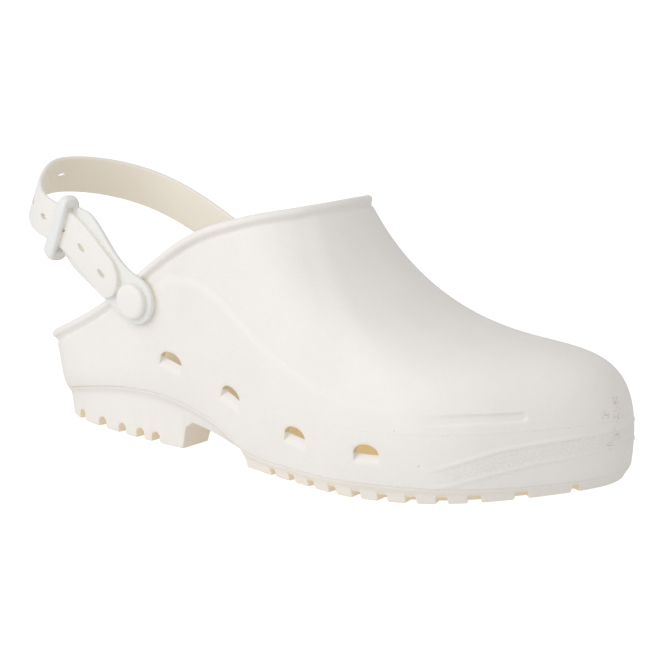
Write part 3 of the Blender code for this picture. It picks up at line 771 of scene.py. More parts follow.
def slot_rise(s, side):
    """Height of the tread's edge over the ground at a place, where a slot is cut."""
    for middle, width in SLOTS_BY_SIDE[side]:
        away = abs(s - middle)
        half = width / 2
        at_heel = foot_at(middle).x < HEEL_FRONT
        corner = half if at_heel else SLOT_CORNER * half
        high = HEEL_SLOT_HIGH if at_heel else FRONT_SLOT_HIGH
        if away < half:
            past = max(away - half + corner, 0.0)
            return high - corner + sqrt(corner * corner - past * past)
        if away < half + LUG_ROUND:
            left = LUG_ROUND - (away - half)
            return LUG_ROUND - sqrt(max(LUG_ROUND ** 2 - left ** 2, 0.0))
    return 0.0


def plan_stations(with_slots):
    """Distances from the heel at which the sole is cut across, as places on either side."""
    start = foot_at(HEEL_S).x
    stop = foot_at(TIP_S).x
    reach = [start + (stop - start) * (1 - cos(pi * k / PLAN_STEPS)) / 2 for k in range(1, PLAN_STEPS)]
    if with_slots:
        for first, count in (HEEL_FRONT_RUN, FOREFOOT_RUN):
            reach += [first + ARCH_STEP * k for k in range(count)]
        for side in (-1, 1):
            for middle, width in SLOTS_BY_SIDE[side]:
                reach += [foot_at(middle + offset).x for offset in slot_offsets(width)]
    stations = [(HEEL_S, END_S)]
    stations += [(side_place(x, -1), side_place(x, 1)) for x in sorted(set(reach))]
    return stations + [(TIP_S, TIP_S)]


def across_sheet(stations, half_section):
    """Closed solid from sections across the foot, each from the two halves of its edge."""
    sections = []
    for outer_s, inner_s in stations:
        outer = half_section(outer_s, -1)
        inner = half_section(inner_s, 1)
        top = (outer[0] + inner[0]) / 2
        low = (outer[-1] + inner[-1]) / 2
        sections.append([top] + outer + [low] + inner[::-1])
    return sheet(len(sections), len(sections[0]), lambda i, j: sections[i][j])


def sole_section(s, side):
    foot = foot_at(s)
    outward = outward_at(s)
    slot = slot_rise(s, side)

    def inset(distance):
        return foot - outward * distance

    def under(distance, extra):
        place = inset(distance)
        return Vector((place.x, place.y, arch(place.x) + extra))

    def notched(distance):
        place = under(distance, 0.0)
        if place.x < HEEL_FRONT + NOTCH_PAST:
            cut_in = smooth_step((place.x - HEEL_FRONT + NOTCH_LONG) / NOTCH_DRAFT)
            place.z = max(place.z, NOTCH_HIGH * cut_in)
        return place

    top = sole_line(foot.x)
    edge = SOLE_INSET + SOLE_DRAFT
    low = under(edge, slot).z
    turned = LUG_ROUND if slot < LUG_ROUND else SLOT_ROUND
    room = clamp((top - low - turned - COVE_ROOM) / COVE[-1][1])
    points = []
    for distance, drop in COVE:
        place = inset(distance)
        points.append(Vector((place.x, place.y, top - drop * room)))
    for k in range(1, WALL_STEPS + 1):
        f = k / WALL_STEPS
        place = inset(SOLE_INSET + SOLE_DRAFT * f)
        points.append(Vector((place.x, place.y, (top - COVE[-1][1] * room) * (1 - f) + (low + turned) * f)))
    for turn in (30, 60, 90):
        place = under(edge + turned * (1 - cos(radians(turn))), slot)
        place.z = low + turned * (1 - sin(radians(turn)))
        points.append(place)
    points += [under(distance, slot) for distance in (*LUG_INSETS, LUG_DEPTH + edge - CRISP)]
    block = LUG_DEPTH + edge + CRISP
    past = max(NOTCH_SPAN[0] - foot.x, foot.x - NOTCH_SPAN[1])
    share = 1 - smooth_step(past / NOTCH_RUN)
    insets = [block + PLAIN_STEP * k * (1 - share) + (NOTCH_EDGE + row - block) * share
              for k, row in enumerate(NOTCH_ROWS, 1)]
    points += [under(distance, 0.0) for distance in [block] + insets[:2]]
    return points + [notched(distance) for distance in insets[2:]]


# Footbed: round of its upper edge, the dished rows within it, and its underside's edge
FOOTBED_ROUND = 0.0011
FOOTBED_DISH = ((0.008, 0.0004), (0.004, 0.0003), (0.0024, 0.0001))
FOOTBED_FOOT = 0.0003


def footbed_section(s, side):
    foot = foot_at(s)
    outward = outward_at(s)
    inset = WALL + FOOTBED_EASE
    soft = FOOTBED_ROUND
    low = sole_line(foot.x) + FOOTBED_SEAT
    top = sole_line(foot.x) + FOOTBED

    def edge(distance, high):
        place = foot - outward * (inset + distance)
        return Vector((place.x, place.y, high))

    points = [edge(distance, top - dip) for distance, dip in FOOTBED_DISH]
    for turn in (90, 60, 30, 0):
        a = radians(turn)
        points.append(edge(soft * (1 - cos(a)), top - soft + soft * sin(a)))
    return points + [edge(0.0, low + FOOTBED_FOOT), edge(FOOTBED_FOOT, low), edge(FOOTBED_DISH[0][0], low)]


# Straps
TRACK_STEPS = 600
# Shares of a round end's radius at which it has a ring, and the run in which it thins out
END_SHARES = (0.0, 0.004, 0.015, 0.04, 0.08, 0.14, 0.22, 0.32, 0.44, 0.58, 0.72, 0.86)
END_THIN = 0.0009
END_GAPS = (0.0006, 0.0003, 0.0001, 0.0)
END_CLEAR = 0.001
THINNEST = 0.00001
# Most that a strap's edge is rounded, as shares of half its thickness and half its width
EDGE_THICK = 0.85
EDGE_WIDE = 0.9
SHORT_STEP = 0.0012
LONG_STEP = 0.0014
SHANK_FACETS = 32
HOLE_FACETS = 28


def strap_track(half):
    """Middle of the strap from the outer button round the heel to the inner one."""
    rearward = Vector((-cos(STRAP_TILT), 0, sin(STRAP_TILT)))
    places = []
    for k in range(TRACK_STEPS + 1):
        turn = pi * k / TRACK_STEPS
        bow = INNER_BOW * sin(2 * turn) ** 2 if turn > pi / 2 else 0.0
        camber = STRAP_CAMBER * sin(pi * turn / CAMBER_TURN) ** 2 if turn < CAMBER_TURN else 0.0
        sideways = Vector((0, 1, 0)) * (bow - half * cos(turn)) + WIDTH_WAY * camber
        places.append(BUTTON_AT + rearward * STRAP_REACH * sin(turn) + sideways)
    track = []
    walked = 0.0
    for k, place in enumerate(places):
        along = (places[min(k + 1, TRACK_STEPS)] - places[max(k - 1, 0)]).normalized()
        if track:
            walked += (place - track[-1][1]).length
        track.append((walked, place, along, WIDTH_WAY.cross(along).normalized()))
    return track


def on_track(s):
    """Place, way along and way out at a distance from the outer button; straight past the ends."""
    if s <= 0 or s >= TRACK[-1][0]:
        walked, place, along, out = TRACK[0] if s <= 0 else TRACK[-1]
        return place + along * (s - walked), along, out
    k = 1
    while TRACK[k][0] < s:
        k += 1
    f = (s - TRACK[k - 1][0]) / (TRACK[k][0] - TRACK[k - 1][0])
    mixed = [a.lerp(b, f) for a, b in zip(TRACK[k - 1][1:], TRACK[k][1:])]
    return mixed[0], mixed[1].normalized(), mixed[2].normalized()


def rounded_box(width, low, high, radius, steps):
    """Points round a box with round corners, as (across, out) pairs."""
    side = width / 2 - radius
    middles = ((side, high - radius), (-side, high - radius), (-side, low + radius), (side, low + radius))
    points = []
    for corner, (x, y) in enumerate(middles):
        for k in range(steps + 1):
            turn = pi / 2 * (corner + k / steps)
            points.append((x + radius * cos(turn), y + radius * sin(turn)))
    return points


def round_end(s, end, radius):
    """Half width of a round end at s, for an end that faces back along the track."""
    gone = clamp((s - end) / radius)
    return radius * sqrt(1 - (1 - gone) ** 2)


def end_ease(s, end):
    """Share of the thickness left where a round end thins out."""
    return sqrt(1 - (1 - clamp((s - end) / END_THIN)) ** 2)


def even_places(start, stop, step):
    count = max(1, round((stop - start) / step))
    return [start + (stop - start) * k / count for k in range(count + 1)]


def end_places(end, radius):
    return [end + radius * share for share in END_SHARES]


def strap_sheet(places, half_width, lift, thick, ease):
    """Strap along the track with rounded edges; the side towards the foot is marked."""
    sections = []
    inner = []
    for s in places:
        place, _, out = on_track(s)
        middle = place + out * lift(s)
        half = max(half_width(s), THINNEST)
        tall = max(thick / 2 * ease(s), THINNEST)
        ring = rounded_box(2 * half, -tall, tall, min(tall * EDGE_THICK, half * EDGE_WIDE), 4)
        sections.append([middle + WIDTH_WAY * x + out * y for x, y in ring])
        inner.append([1.0 if y < -0.5 * tall else 0.0 for x, y in ring])
    return sheet(len(places), len(sections[0]), lambda i, j: sections[i][j], False, {"inside": inner})


def shank_hole(s):
    place, _, out = on_track(s)
    radius = SHANK_RADIUS + FIT_GAP
    return cutter(Vector((radius, radius, HEAD_RADIUS)), facing_matrix(place, out), SHANK_FACETS)


def make_short_strap(material, hole_material):
    head = -HEAD_RADIUS
    end = BUCKLE_START - FIT_GAP
    neck = HEAD_RADIUS

    def half_width(s):
        if s < 0:
            return round_end(s, head, HEAD_RADIUS)
        waist = HEAD_RADIUS + (SHORT_WIDTH / 2 - HEAD_RADIUS) * smooth_step(s / neck)
        flare = smooth_step((s - neck) / (SHOULDER_AT - neck))
        taper = smooth_step((s - SHOULDER_AT) / (end - SHOULDER_AT))
        return waist + (SHORT_FLARE - SHORT_WIDTH) / 2 * flare - (SHORT_FLARE - SHORT_END) / 2 * taper

    def ease(s):
        return end_ease(s, head) * end_ease(-s, -end)

    places = end_places(head, HEAD_RADIUS) + even_places(0.0, end - END_CLEAR, SHORT_STEP)
    places += [end - gap for gap in END_GAPS]
    bm = strap_sheet(places, half_width, lambda s: 0.0, SHORT_THICK, ease)
    strap = to_piece("strap_tab", bm, material)
    cut(strap, [(shank_hole(0.0), hole_material)])
    return strap


def tail_lift(s):
    """How far the long strap lies off the short one's middle: over it, bowed, then in line."""
    over = (SHORT_THICK + STRAP_THICK) / 2 + FIT_GAP
    gone = clamp((s - BOW_START) / BOW_LENGTH)
    return over * (1 - smooth_step(gone)) + STRAP_BULGE * (0.5 - 0.5 * cos(2 * pi * gone))


def make_long_strap(material, hole_material):
    stop = TRACK[-1][0] + HEAD_RADIUS
    radius = LONG_WIDTH / 2

    def half_width(s):
        if s > stop - 2 * HEAD_RADIUS:
            head = round_end(stop - s, 0.0, HEAD_RADIUS)
            grown = smooth_step((s - stop + 2 * HEAD_RADIUS) / HEAD_RADIUS)
            return head if s > stop - HEAD_RADIUS else radius + (HEAD_RADIUS - radius) * grown
        return round_end(s, TAIL_END, radius)

    def ease(s):
        return end_ease(s, TAIL_END) * end_ease(stop - s, 0.0)

    places = end_places(TAIL_END, radius)
    places += even_places(TAIL_END + radius, stop - HEAD_RADIUS - END_CLEAR, LONG_STEP)
    places += [stop + TAIL_END - s for s in reversed(end_places(TAIL_END, HEAD_RADIUS))]
    bm = strap_sheet(places, half_width, tail_lift, STRAP_THICK, ease)
    strap = to_piece("strap_band", bm, material)
    size = Vector((HOLE_LENGTH / 2, HOLE_WIDTH / 2, 2 * STRAP_THICK))
    cutters = []
    for number in range(HOLE_COUNT):
        s = HOLE_FIRST + HOLE_PITCH * number
        place, along, out = on_track(s)
        turned = Matrix((along, out.cross(along), out)).transposed().to_4x4()
        lifted = Matrix.Translation(place + out * tail_lift(s))
        cutters.append((cutter(size, lifted @ turned, HOLE_FACETS), hole_material))
    cutters.append((shank_hole(TRACK[-1][0]), hole_material))
    cut(strap, cutters)
    return strap


# Buckle: steps round a corner, how square its bar is, and how it thins towards its upper end
CORNER_STEPS = 6
BAR_SQUARE = 0.72
KNOB_START = 0.62
KNOB_THIN = 0.16


def make_buckle(material):
    """Square loop swept as one rounded bar."""
    place, _, out = on_track(BUCKLE_START + BUCKLE_LENGTH / 2)
    ahead = -WIDTH_WAY.cross(out)
    floor = SHORT_THICK / 2
    roof = floor + STRAP_THICK + WINDOW_ROOM
    snug = floor + STRAP_THICK + WINDOW_SNUG
    outer = rounded_box(BUCKLE_WIDTH, floor - BUCKLE_BAR, roof + BUCKLE_BAR, BUCKLE_CORNER, CORNER_STEPS)
    inner = rounded_box(LONG_WIDTH + WINDOW_EASE, floor, snug, WINDOW_CORNER, CORNER_STEPS)

    def squared(share):
        return abs(share) ** BAR_SQUARE * (1 if share > 0 else -1)

    turns = [radians(turn) for turn in range(0, 360, 15)]
    ring = [(squared(cos(turn)), squared(sin(turn))) for turn in turns]

    def spot(k, j):
        across, thick = ring[j]
        share = (thick + 1) / 2
        x = inner[k][0] + (outer[k][0] - inner[k][0]) * share
        y = inner[k][1] + (outer[k][1] - inner[k][1]) * share
        knob = smooth_step((-2 * outer[k][0] / BUCKLE_WIDTH - KNOB_START) / (1 - KNOB_START))
        return place - WIDTH_WAY * x + out * y + ahead * across * (0.5 - KNOB_THIN * knob) * BUCKLE_LENGTH

    bm = sheet(len(outer), len(ring), spot, True)
    return to_piece("buckle_loop", bm, material)


# Turned face of a stud, as shares of its radius and height
STUD_FACE = ((0.0, 1.0), (0.30, 0.995), (0.55, 0.98), (0.74, 0.95), (0.86, 0.89), (0.94, 0.79),
             (0.985, 0.64), (1.0, 0.45), (1.0, 0.10), (0.985, 0.03), (0.96, 0.0))
STUD_STEPS = 48
STUD_SHARP = radians(50)


def make_stud(name, s, thick, material):
    """Domed head and shank, spun about the strap's way out."""
    place, _, out = on_track(s)
    seat = thick / 2 + FIT_GAP
    profile = [(BUTTON_RADIUS * a, seat + BUTTON_DOME * b) for a, b in STUD_FACE]
    profile += [(SHANK_RADIUS, seat), (SHANK_RADIUS, -thick / 2), (0.0, -thick / 2)]
    bm = bmesh.new()
    verts = [bm.verts.new((radius, 0, high)) for radius, high in profile]
    edges = [bm.edges.new(pair) for pair in zip(verts, verts[1:])]
    bmesh.ops.spin(bm, geom=verts + edges, axis=(0, 0, 1), cent=(0, 0, 0), steps=STUD_STEPS,
                   angle=2 * pi, use_merge=True)
    bmesh.ops.remove_doubles(bm, verts=bm.verts, dist=MERGE)
    bmesh.ops.transform(bm, matrix=facing_matrix(place, out), verts=bm.verts)
    bmesh.ops.recalc_face_normals(bm, faces=bm.faces)
    return to_piece(name, bm, material, STUD_SHARP)


# Materials
def feed(tree, made, inputs):
    """Links inputs to other nodes' outputs, or gives them plain values."""
    for name, value in inputs.items():
        if isinstance(value, bpy.types.NodeSocket):
            tree.links.new(value, made.inputs[name])
        else:
            made.inputs[name].default_value = value


def add_node(tree, kind, inputs=None, **options):
    made = tree.nodes.new("ShaderNode" + kind)
    for name, value in options.items():
        setattr(made, name, value)
    feed(tree, made, inputs or {})
    return made


def math_node(tree, operation, a, b=0.0, c=0.0):
    return add_node(tree, "Math", {0: a, 1: b, 2: c}, operation=operation).outputs[0]


def times(tree, a, b):
    return math_node(tree, "MULTIPLY", a, b)


def distance_node(tree, a, b):
    return add_node(tree, "VectorMath", {0: a, 1: b}, operation="DISTANCE").outputs["Value"]


def noise_node(tree, place, scale, detail=2.0, **others):
    inputs = {"Vector": place, "Scale": scale, "Detail": detail, **others}
    return add_node(tree, "TexNoise", inputs).outputs[0]


def ramp_node(tree, value, low, high):
    """Share of the way from low to high, eased."""
    made = add_node(tree, "MapRange", {"Value": value, "From Min": low, "From Max": high},
                    interpolation_type="SMOOTHSTEP")
    return made.outputs["Result"]


def mix_colour(tree, share, a, b):
    """Colour from a to b; a Mix node's colours are its sockets 6 and 7, and its output 2."""
    return add_node(tree, "Mix", {0: share, 6: a, 7: b}, data_type="RGBA").outputs[2]


def tint(tree, colour, mask, strength, other):
    """Lays another colour over one where a mask shows."""
    return mix_colour(tree, times(tree, mask, strength), colour, other)


def new_group(name, inputs, outputs):
    tree = bpy.data.node_groups.new(name, "ShaderNodeTree")
    for label, kind in inputs:
        tree.interface.new_socket(label, in_out="INPUT", socket_type="NodeSocket" + kind)
    for label, kind in outputs:
        tree.interface.new_socket(label, in_out="OUTPUT", socket_type="NodeSocket" + kind)
    start = tree.nodes.new("NodeGroupInput")
    stop = tree.nodes.new("NodeGroupOutput")
    return tree, start.outputs, stop.inputs


def use_group(tree, group, inputs):
    made = tree.nodes.new("ShaderNodeGroup")
    made.node_tree = group
    feed(tree, made, inputs)
    return made.outputs


# Strengths of the effects: grain and drift, crevices, strokes of a scuff
FINER_GRAIN = 2.7
DRIFTS_PER_METRE = 38.0
CREVICE_READS = 8
CREVICE_RAMP = (0.45, 0.95)
STROKES_PER_METRE = (500.0, 500.0, 1500.0)


def grain_group():
    """Fine moulded grain as a height, and a slow drift of tone."""
    tree, given, put = new_group("moulded_grain", [("Place", "Vector"), ("Grains per metre", "Float")],
                                 [("Height", "Float"), ("Tone", "Float")])
    coarse = noise_node(tree, given["Place"], given["Grains per metre"])
    finer = times(tree, given["Grains per metre"], FINER_GRAIN)
    fine = noise_node(tree, given["Place"], finer, 1.0)
    tree.links.new(math_node(tree, "MULTIPLY_ADD", fine, 0.5, coarse), put["Height"])
    slow = noise_node(tree, given["Place"], DRIFTS_PER_METRE, 4.0, Roughness=0.6)
    drift = times(tree, ramp_node(tree, slow, 0.35, 0.70), 0.5)
    pores = ramp_node(tree, coarse, 0.35, 0.65)
    tree.links.new(math_node(tree, "MULTIPLY_ADD", pores, 0.5, drift), put["Tone"])
    return tree


def stipple_group():
    """Small even pits, as a height."""
    tree, given, put = new_group("stipple", [("Place", "Vector"), ("Pits per metre", "Float")],
                                 [("Height", "Float")])
    cells = add_node(tree, "TexVoronoi", {"Vector": given["Place"], "Scale": given["Pits per metre"]})
    tree.links.new(ramp_node(tree, cells.outputs["Distance"], 0.75, 0.0), put["Height"])
    return tree


def crevice_group(name, own):
    """How closed in a place is, near by (by its own piece alone or by all) and further off."""
    tree, given, put = new_group(name, [("Near reach", "Float"), ("Far reach", "Float")],
                                 [("Near", "Float"), ("Far", "Float")])
    for label, alone in (("Near", own), ("Far", False)):
        around = add_node(tree, "AmbientOcclusion", {"Distance": given[label + " reach"]},
                          samples=CREVICE_READS, only_local=alone)
        closed = math_node(tree, "SUBTRACT", 1.0, around.outputs["AO"])
        tree.links.new(ramp_node(tree, closed, *CREVICE_RAMP), put[label])
    return tree


def speck_group():
    """Scattered dark specks, more or fewer by a share."""
    wanted = [("Place", "Vector"), ("Specks per metre", "Float"), ("Share", "Float")]
    tree, given, put = new_group("specks", wanted, [("Mask", "Float")])
    cells = add_node(tree, "TexVoronoi", {"Vector": given["Place"], "Scale": given["Specks per metre"]})
    size = add_node(tree, "SeparateColor", {"Color": cells.outputs["Color"]})
    small = ramp_node(tree, cells.outputs["Distance"], 0.20, 0.10)
    chosen = math_node(tree, "LESS_THAN", size.outputs[0], given["Share"])
    tree.links.new(times(tree, small, chosen), put["Mask"])
    return tree


def scuff_group():
    """One rubbed mark round a place, broken into short strokes."""
    wanted = [("Place", "Vector"), ("Middle", "Vector"), ("Reach", "Float")]
    tree, given, put = new_group("scuff", wanted, [("Mask", "Float")])
    away = distance_node(tree, given["Place"], given["Middle"])
    spread = ramp_node(tree, math_node(tree, "DIVIDE", away, given["Reach"]), 1.0, 0.2)
    stretched = add_node(tree, "Mapping", {"Vector": given["Place"], "Scale": STROKES_PER_METRE})
    strokes = noise_node(tree, stretched.outputs[0], 1.0, 3.0)
    broken = ramp_node(tree, strokes, 0.46, 0.62)
    tree.links.new(times(tree, spread, broken), put["Mask"])
    return tree


GRAIN = grain_group()
STIPPLE = stipple_group()
CREVICE = crevice_group("warm_crevice", False)
OWN_CREVICE = crevice_group("own_crevice", True)
SPECKS = speck_group()
SCUFF = scuff_group()

# Colours, linear
MOULDED_WHITE = (0.896, 0.865, 0.826, 1.0)
MOULDED_SHADE = (0.858, 0.822, 0.778, 1.0)
# Painted warm shade, laid into crevices
WARM_SHADE = (0.82, 0.62, 0.34, 1.0)
# Colours of painted glow, emitted in crevices and on inner faces
NO_GLOW = (0.0, 0.0, 0.0, 1.0)
WARM_GLOW = (1.0, 0.74, 0.40, 1.0)
DEEP_GLOW = (1.0, 0.84, 0.44, 1.0)
PALE_GLOW = (1.0, 0.89, 0.64, 1.0)
STRAP_GLOW = (1.0, 0.96, 0.86, 1.0)
# Darker, warmer colour of the shell's inside: painted shade on the same white plastic
INSIDE_PAINTED_SHADE = (0.82, 0.74, 0.60, 1.0)
# Lighter, cooler copy of the moulded white for the vents' sills: painted light on the lit lip
SILL_PAINTED_LIGHT = (0.895, 0.872, 0.840, 1.0)
# Tan of the vents' walls on the same white plastic: painted shade and warm light in the holes
VENT_PAINTED_SHADE = (0.76, 0.65, 0.46, 1.0)
# The footbed's own yellowish off-white, darkened and warmed as painted shade inside the shoe
FOOTBED_PAINTED_SHADE = (0.78, 0.68, 0.50, 1.0)
BAND_WHITE = (0.875, 0.850, 0.815, 1.0)
# Warmer copy of the band's white for its side towards the foot and the strap holes' walls: painted warm
# light through the strap
BAND_PAINTED_WARM_LIGHT = (0.885, 0.850, 0.775, 1.0)
TAB_WHITE = (0.832, 0.832, 0.806, 1.0)
BUCKLE_WHITE = (0.830, 0.835, 0.815, 1.0)
STUD_WHITE = (0.885, 0.858, 0.83, 1.0)
DIRT = (0.16, 0.125, 0.10, 1.0)
SCUFF_COLOUR = (0.46, 0.34, 0.33, 1.0)

# Rubbed marks on the front of the toe, from the heel seat, with their reach
SCUFFS = (
    (Vector((0.2777, 0.0188, 0.0436)), 0.0035), (Vector((0.2794, 0.0187, 0.0380)), 0.0045),
    (Vector((0.2806, 0.0166, 0.0310)), 0.0040), (Vector((0.2799, 0.0137, 0.0264)), 0.0030),
    (Vector((0.2783, 0.0121, 0.0388)), 0.0030),
)
# Dark spots on the outer side, from the heel seat, with their reach
SPECK_SPOTS = (
    (Vector((0.1798, -0.0480, 0.0321)), 0.0007), (Vector((0.1646, -0.0480, 0.0335)), 0.0005),
    (Vector((0.2140, -0.0450, 0.0329)), 0.0006),
)

# How near a crevice counts as tight, and the strengths of dirt, rubbing and stipple
NEAR_REACH = 0.0024
SPECKLE = {"Specks per metre": 300.0, "Share": 0.002}
SPECK_DARK = 0.25
FLECKS = {"Specks per metre": 900.0, "Share": 0.45}
FLECK_DARK = 0.65
PATCHES_PER_METRE = 60.0
PARTING_STAIN = 0.032
SCUFF_DARK = 0.45
PITS_PER_METRE = 1250.0
PIT_DEEP = 2.2
SHELL_BUMP = 0.7
PLAIN_BUMP = 0.5


def start_material(name, roughness, specular=0.4):
    material = bpy.data.materials.new(name)
    material.use_nodes = True
    tree = material.node_tree
    shader = tree.nodes["Principled BSDF"]
    shader.inputs["Roughness"].default_value = roughness
    shader.inputs["Specular IOR Level"].default_value = specular
    place = add_node(tree, "TexCoord").outputs["Object"]
    return material, tree, shader, place


def attribute(tree, name):
    return add_node(tree, "Attribute", attribute_name=name).outputs["Fac"]


def set_bump(tree, shader, height, distance, strength):
    made = add_node(tree, "Bump", {"Height": height, "Distance": distance, "Strength": strength})
    tree.links.new(made.outputs[0], shader.inputs["Normal"])


# Finish: roughness, grains per metre and grain depth, then painted warm shade and painted glow in tight
# crevices, reach of the deeper crevices, painted warm shade and painted glow there, and painted glow on
# inner faces
Finish = namedtuple("Finish", "roughness grains grain_deep warm near_glow "
                              "far_reach far_warm far_glow inner_glow")


def moulded(name, white, shade, finish, crevice, inside=None, glow_colour=WARM_GLOW):
    """Matt moulded surface: drifting tone, grain, painted shade and glow in crevices, and a few specks."""
    material, tree, shader, place = start_material(name, finish.roughness)
    grain = use_group(tree, GRAIN, {"Place": place, "Grains per metre": finish.grains})
    colour = mix_colour(tree, grain["Tone"], white, shade)
    closed = use_group(tree, crevice, {"Near reach": NEAR_REACH, "Far reach": finish.far_reach})
    deep = closed["Far"]
    # Faces marked inside take another colour (painted shade inside the shell, painted warm light on the
    # strap's inner side), and only they take the deep crevice's painted shade and glow
    if inside:
        inner = attribute(tree, "inside")
        colour = mix_colour(tree, inner, colour, inside)
        deep = times(tree, deep, inner)
    # Painted warm shade laid into tight crevices and, further off, into deep hollows
    colour = tint(tree, colour, closed["Near"], finish.warm, WARM_SHADE)
    colour = tint(tree, colour, deep, finish.far_warm, WARM_SHADE)
    # Painted glow: emission in crevices and on inner faces, standing in for light carried through the
    # plastic
    near_glow = times(tree, closed["Near"], finish.near_glow)
    glow = math_node(tree, "MULTIPLY_ADD", deep, finish.far_glow, near_glow)
    if inside:
        glow = math_node(tree, "MULTIPLY_ADD", inner, finish.inner_glow, glow)
    tree.links.new(mix_colour(tree, glow, NO_GLOW, glow_colour), shader.inputs["Emission Color"])
    shader.inputs["Emission Strength"].default_value = 1.0
    specks = use_group(tree, SPECKS, {"Place": place, **SPECKLE})["Mask"]
    colour = tint(tree, colour, specks, SPECK_DARK, DIRT)
    return material, tree, shader, place, grain, colour


def plain(name, white, shade, finish, crevice, inside=None, glow_colour=WARM_GLOW):
    made = moulded(name, white, shade, finish, crevice, inside, glow_colour)
    material, tree, shader, place, grain, colour = made
    tree.links.new(colour, shader.inputs["Base Color"])
    set_bump(tree, shader, grain["Height"], finish.grain_deep, PLAIN_BUMP)
    return material


def shell_material(finish):
    """The moulded white with the parting line's flecks, rubbed marks at the toe and the stippled band."""
    made = moulded("shell_white", MOULDED_WHITE, MOULDED_SHADE, finish, CREVICE, INSIDE_PAINTED_SHADE, DEEP_GLOW)
    material, tree, shader, place, grain, colour = made
    parting = math_node(tree, "ABSOLUTE", attribute(tree, "parting"))
    on_line = ramp_node(tree, parting, 0.9, 0.2)
    colour = tint(tree, colour, ramp_node(tree, parting, 0.40, 0.1), PARTING_STAIN, DIRT)
    flecks = use_group(tree, SPECKS, {"Place": place, **FLECKS})["Mask"]
    patches = noise_node(tree, place, PATCHES_PER_METRE)
    flecks = times(tree, flecks, ramp_node(tree, patches, 0.47, 0.58))
    flecks = times(tree, flecks, on_line)
    for middle, reach in SPECK_SPOTS:
        spot = ramp_node(tree, distance_node(tree, place, middle + HEEL_AT), reach, 0.4 * reach)
        flecks = math_node(tree, "MAXIMUM", flecks, spot)
    colour = tint(tree, colour, flecks, FLECK_DARK, DIRT)
    rubbed = 0.0
    for middle, reach in SCUFFS:
        mask = use_group(tree, SCUFF, {"Place": place, "Middle": middle + HEEL_AT, "Reach": reach})["Mask"]
        rubbed = math_node(tree, "MAXIMUM", rubbed, mask)
    colour = tint(tree, colour, rubbed, SCUFF_DARK, SCUFF_COLOUR)
    tree.links.new(colour, shader.inputs["Base Color"])
    pits = use_group(tree, STIPPLE, {"Place": place, "Pits per metre": PITS_PER_METRE})["Height"]
    height = times(tree, pits, times(tree, attribute(tree, "band"), PIT_DEEP))
    height = math_node(tree, "ADD", height, grain["Height"])
    set_bump(tree, shader, height, finish.grain_deep, SHELL_BUMP)
    return material


# The warm and glow columns set each material's painted warm shade and painted glow
SHELL_FINISH = Finish(0.52, 1500.0, 0.00010, 0.20, 0.10, 0.090, 0.25, 0.24, 0.0)
VENT_FINISH = Finish(0.60, 1500.0, 0.00005, 0.12, 0.02, 0.008, 0.15, 0.02, 0.0)
SOLE_FINISH = Finish(0.52, 1500.0, 0.00009, 0.22, 0.07, 0.022, 0.52, 0.12, 0.0)
FOOTBED_FINISH = Finish(0.65, 700.0, 0.00020, 0.20, 0.00, 0.110, 0.20, 0.22, 0.0)
BAND_FINISH = Finish(0.42, 1900.0, 0.00006, 0.05, 0.12, 0.050, 0.00, 0.00, 0.050)
TAB_FINISH = Finish(0.38, 1900.0, 0.00005, 0.06, 0.20, 0.020, 0.00, 0.00, 0.0)
SLIT_FINISH = Finish(0.55, 1900.0, 0.00004, 0.05, 0.34, 0.010, 0.00, 0.02, 0.0)
BUCKLE_FINISH = Finish(0.22, 900.0, 0.00002, 0.05, 0.18, 0.020, 0.00, 0.00, 0.0)
STUD_FINISH = Finish(0.38, 1900.0, 0.00003, 0.08, 0.16, 0.020, 0.00, 0.00, 0.0)


# Where the layout's heel seat stands in the row frame, and the strap's half spread
outer_low, outer_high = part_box("button_outer")
inner_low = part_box("button_inner")[0]
HALF_STRAP = (inner_low.y - outer_high.y + (SHORT_THICK + STRAP_THICK) / 2) / 2
HEEL_AT = Vector(((outer_low.x + outer_high.x) / 2 - BUTTON_AT.x,
                  (inner_low.y + outer_high.y) / 2 + (STRAP_THICK - SHORT_THICK) / 4, 0.0))
TRACK = strap_track(HALF_STRAP)

SHELL_WHITE = shell_material(SHELL_FINISH)
# The vents' walls carry painted shade, their sills painted light
VENT_WALL = plain("vent_wall", VENT_PAINTED_SHADE, VENT_PAINTED_SHADE, VENT_FINISH, OWN_CREVICE)
VENT_SILL = plain("vent_sill", SILL_PAINTED_LIGHT, SILL_PAINTED_LIGHT, VENT_FINISH, OWN_CREVICE)
SOLE_WHITE = plain("sole_white", MOULDED_WHITE, MOULDED_SHADE, SOLE_FINISH, OWN_CREVICE, None, PALE_GLOW)
FOOTBED_WHITE = plain("footbed_shaded_tan", FOOTBED_PAINTED_SHADE, FOOTBED_PAINTED_SHADE, FOOTBED_FINISH, CREVICE, None, DEEP_GLOW)
BAND = plain("band_white", BAND_WHITE, BAND_WHITE, BAND_FINISH, CREVICE, BAND_PAINTED_WARM_LIGHT, STRAP_GLOW)
TAB = plain("tab_white", TAB_WHITE, TAB_WHITE, TAB_FINISH, CREVICE, None, STRAP_GLOW)
SLIT_WALL = plain("slit_wall", BAND_PAINTED_WARM_LIGHT, BAND_PAINTED_WARM_LIGHT, SLIT_FINISH, CREVICE, None, STRAP_GLOW)
BUCKLE = plain("buckle_white", BUCKLE_WHITE, BUCKLE_WHITE, BUCKLE_FINISH, CREVICE, None, STRAP_GLOW)
STUD = plain("stud_white", STUD_WHITE, STUD_WHITE, STUD_FINISH, CREVICE, None, STRAP_GLOW)

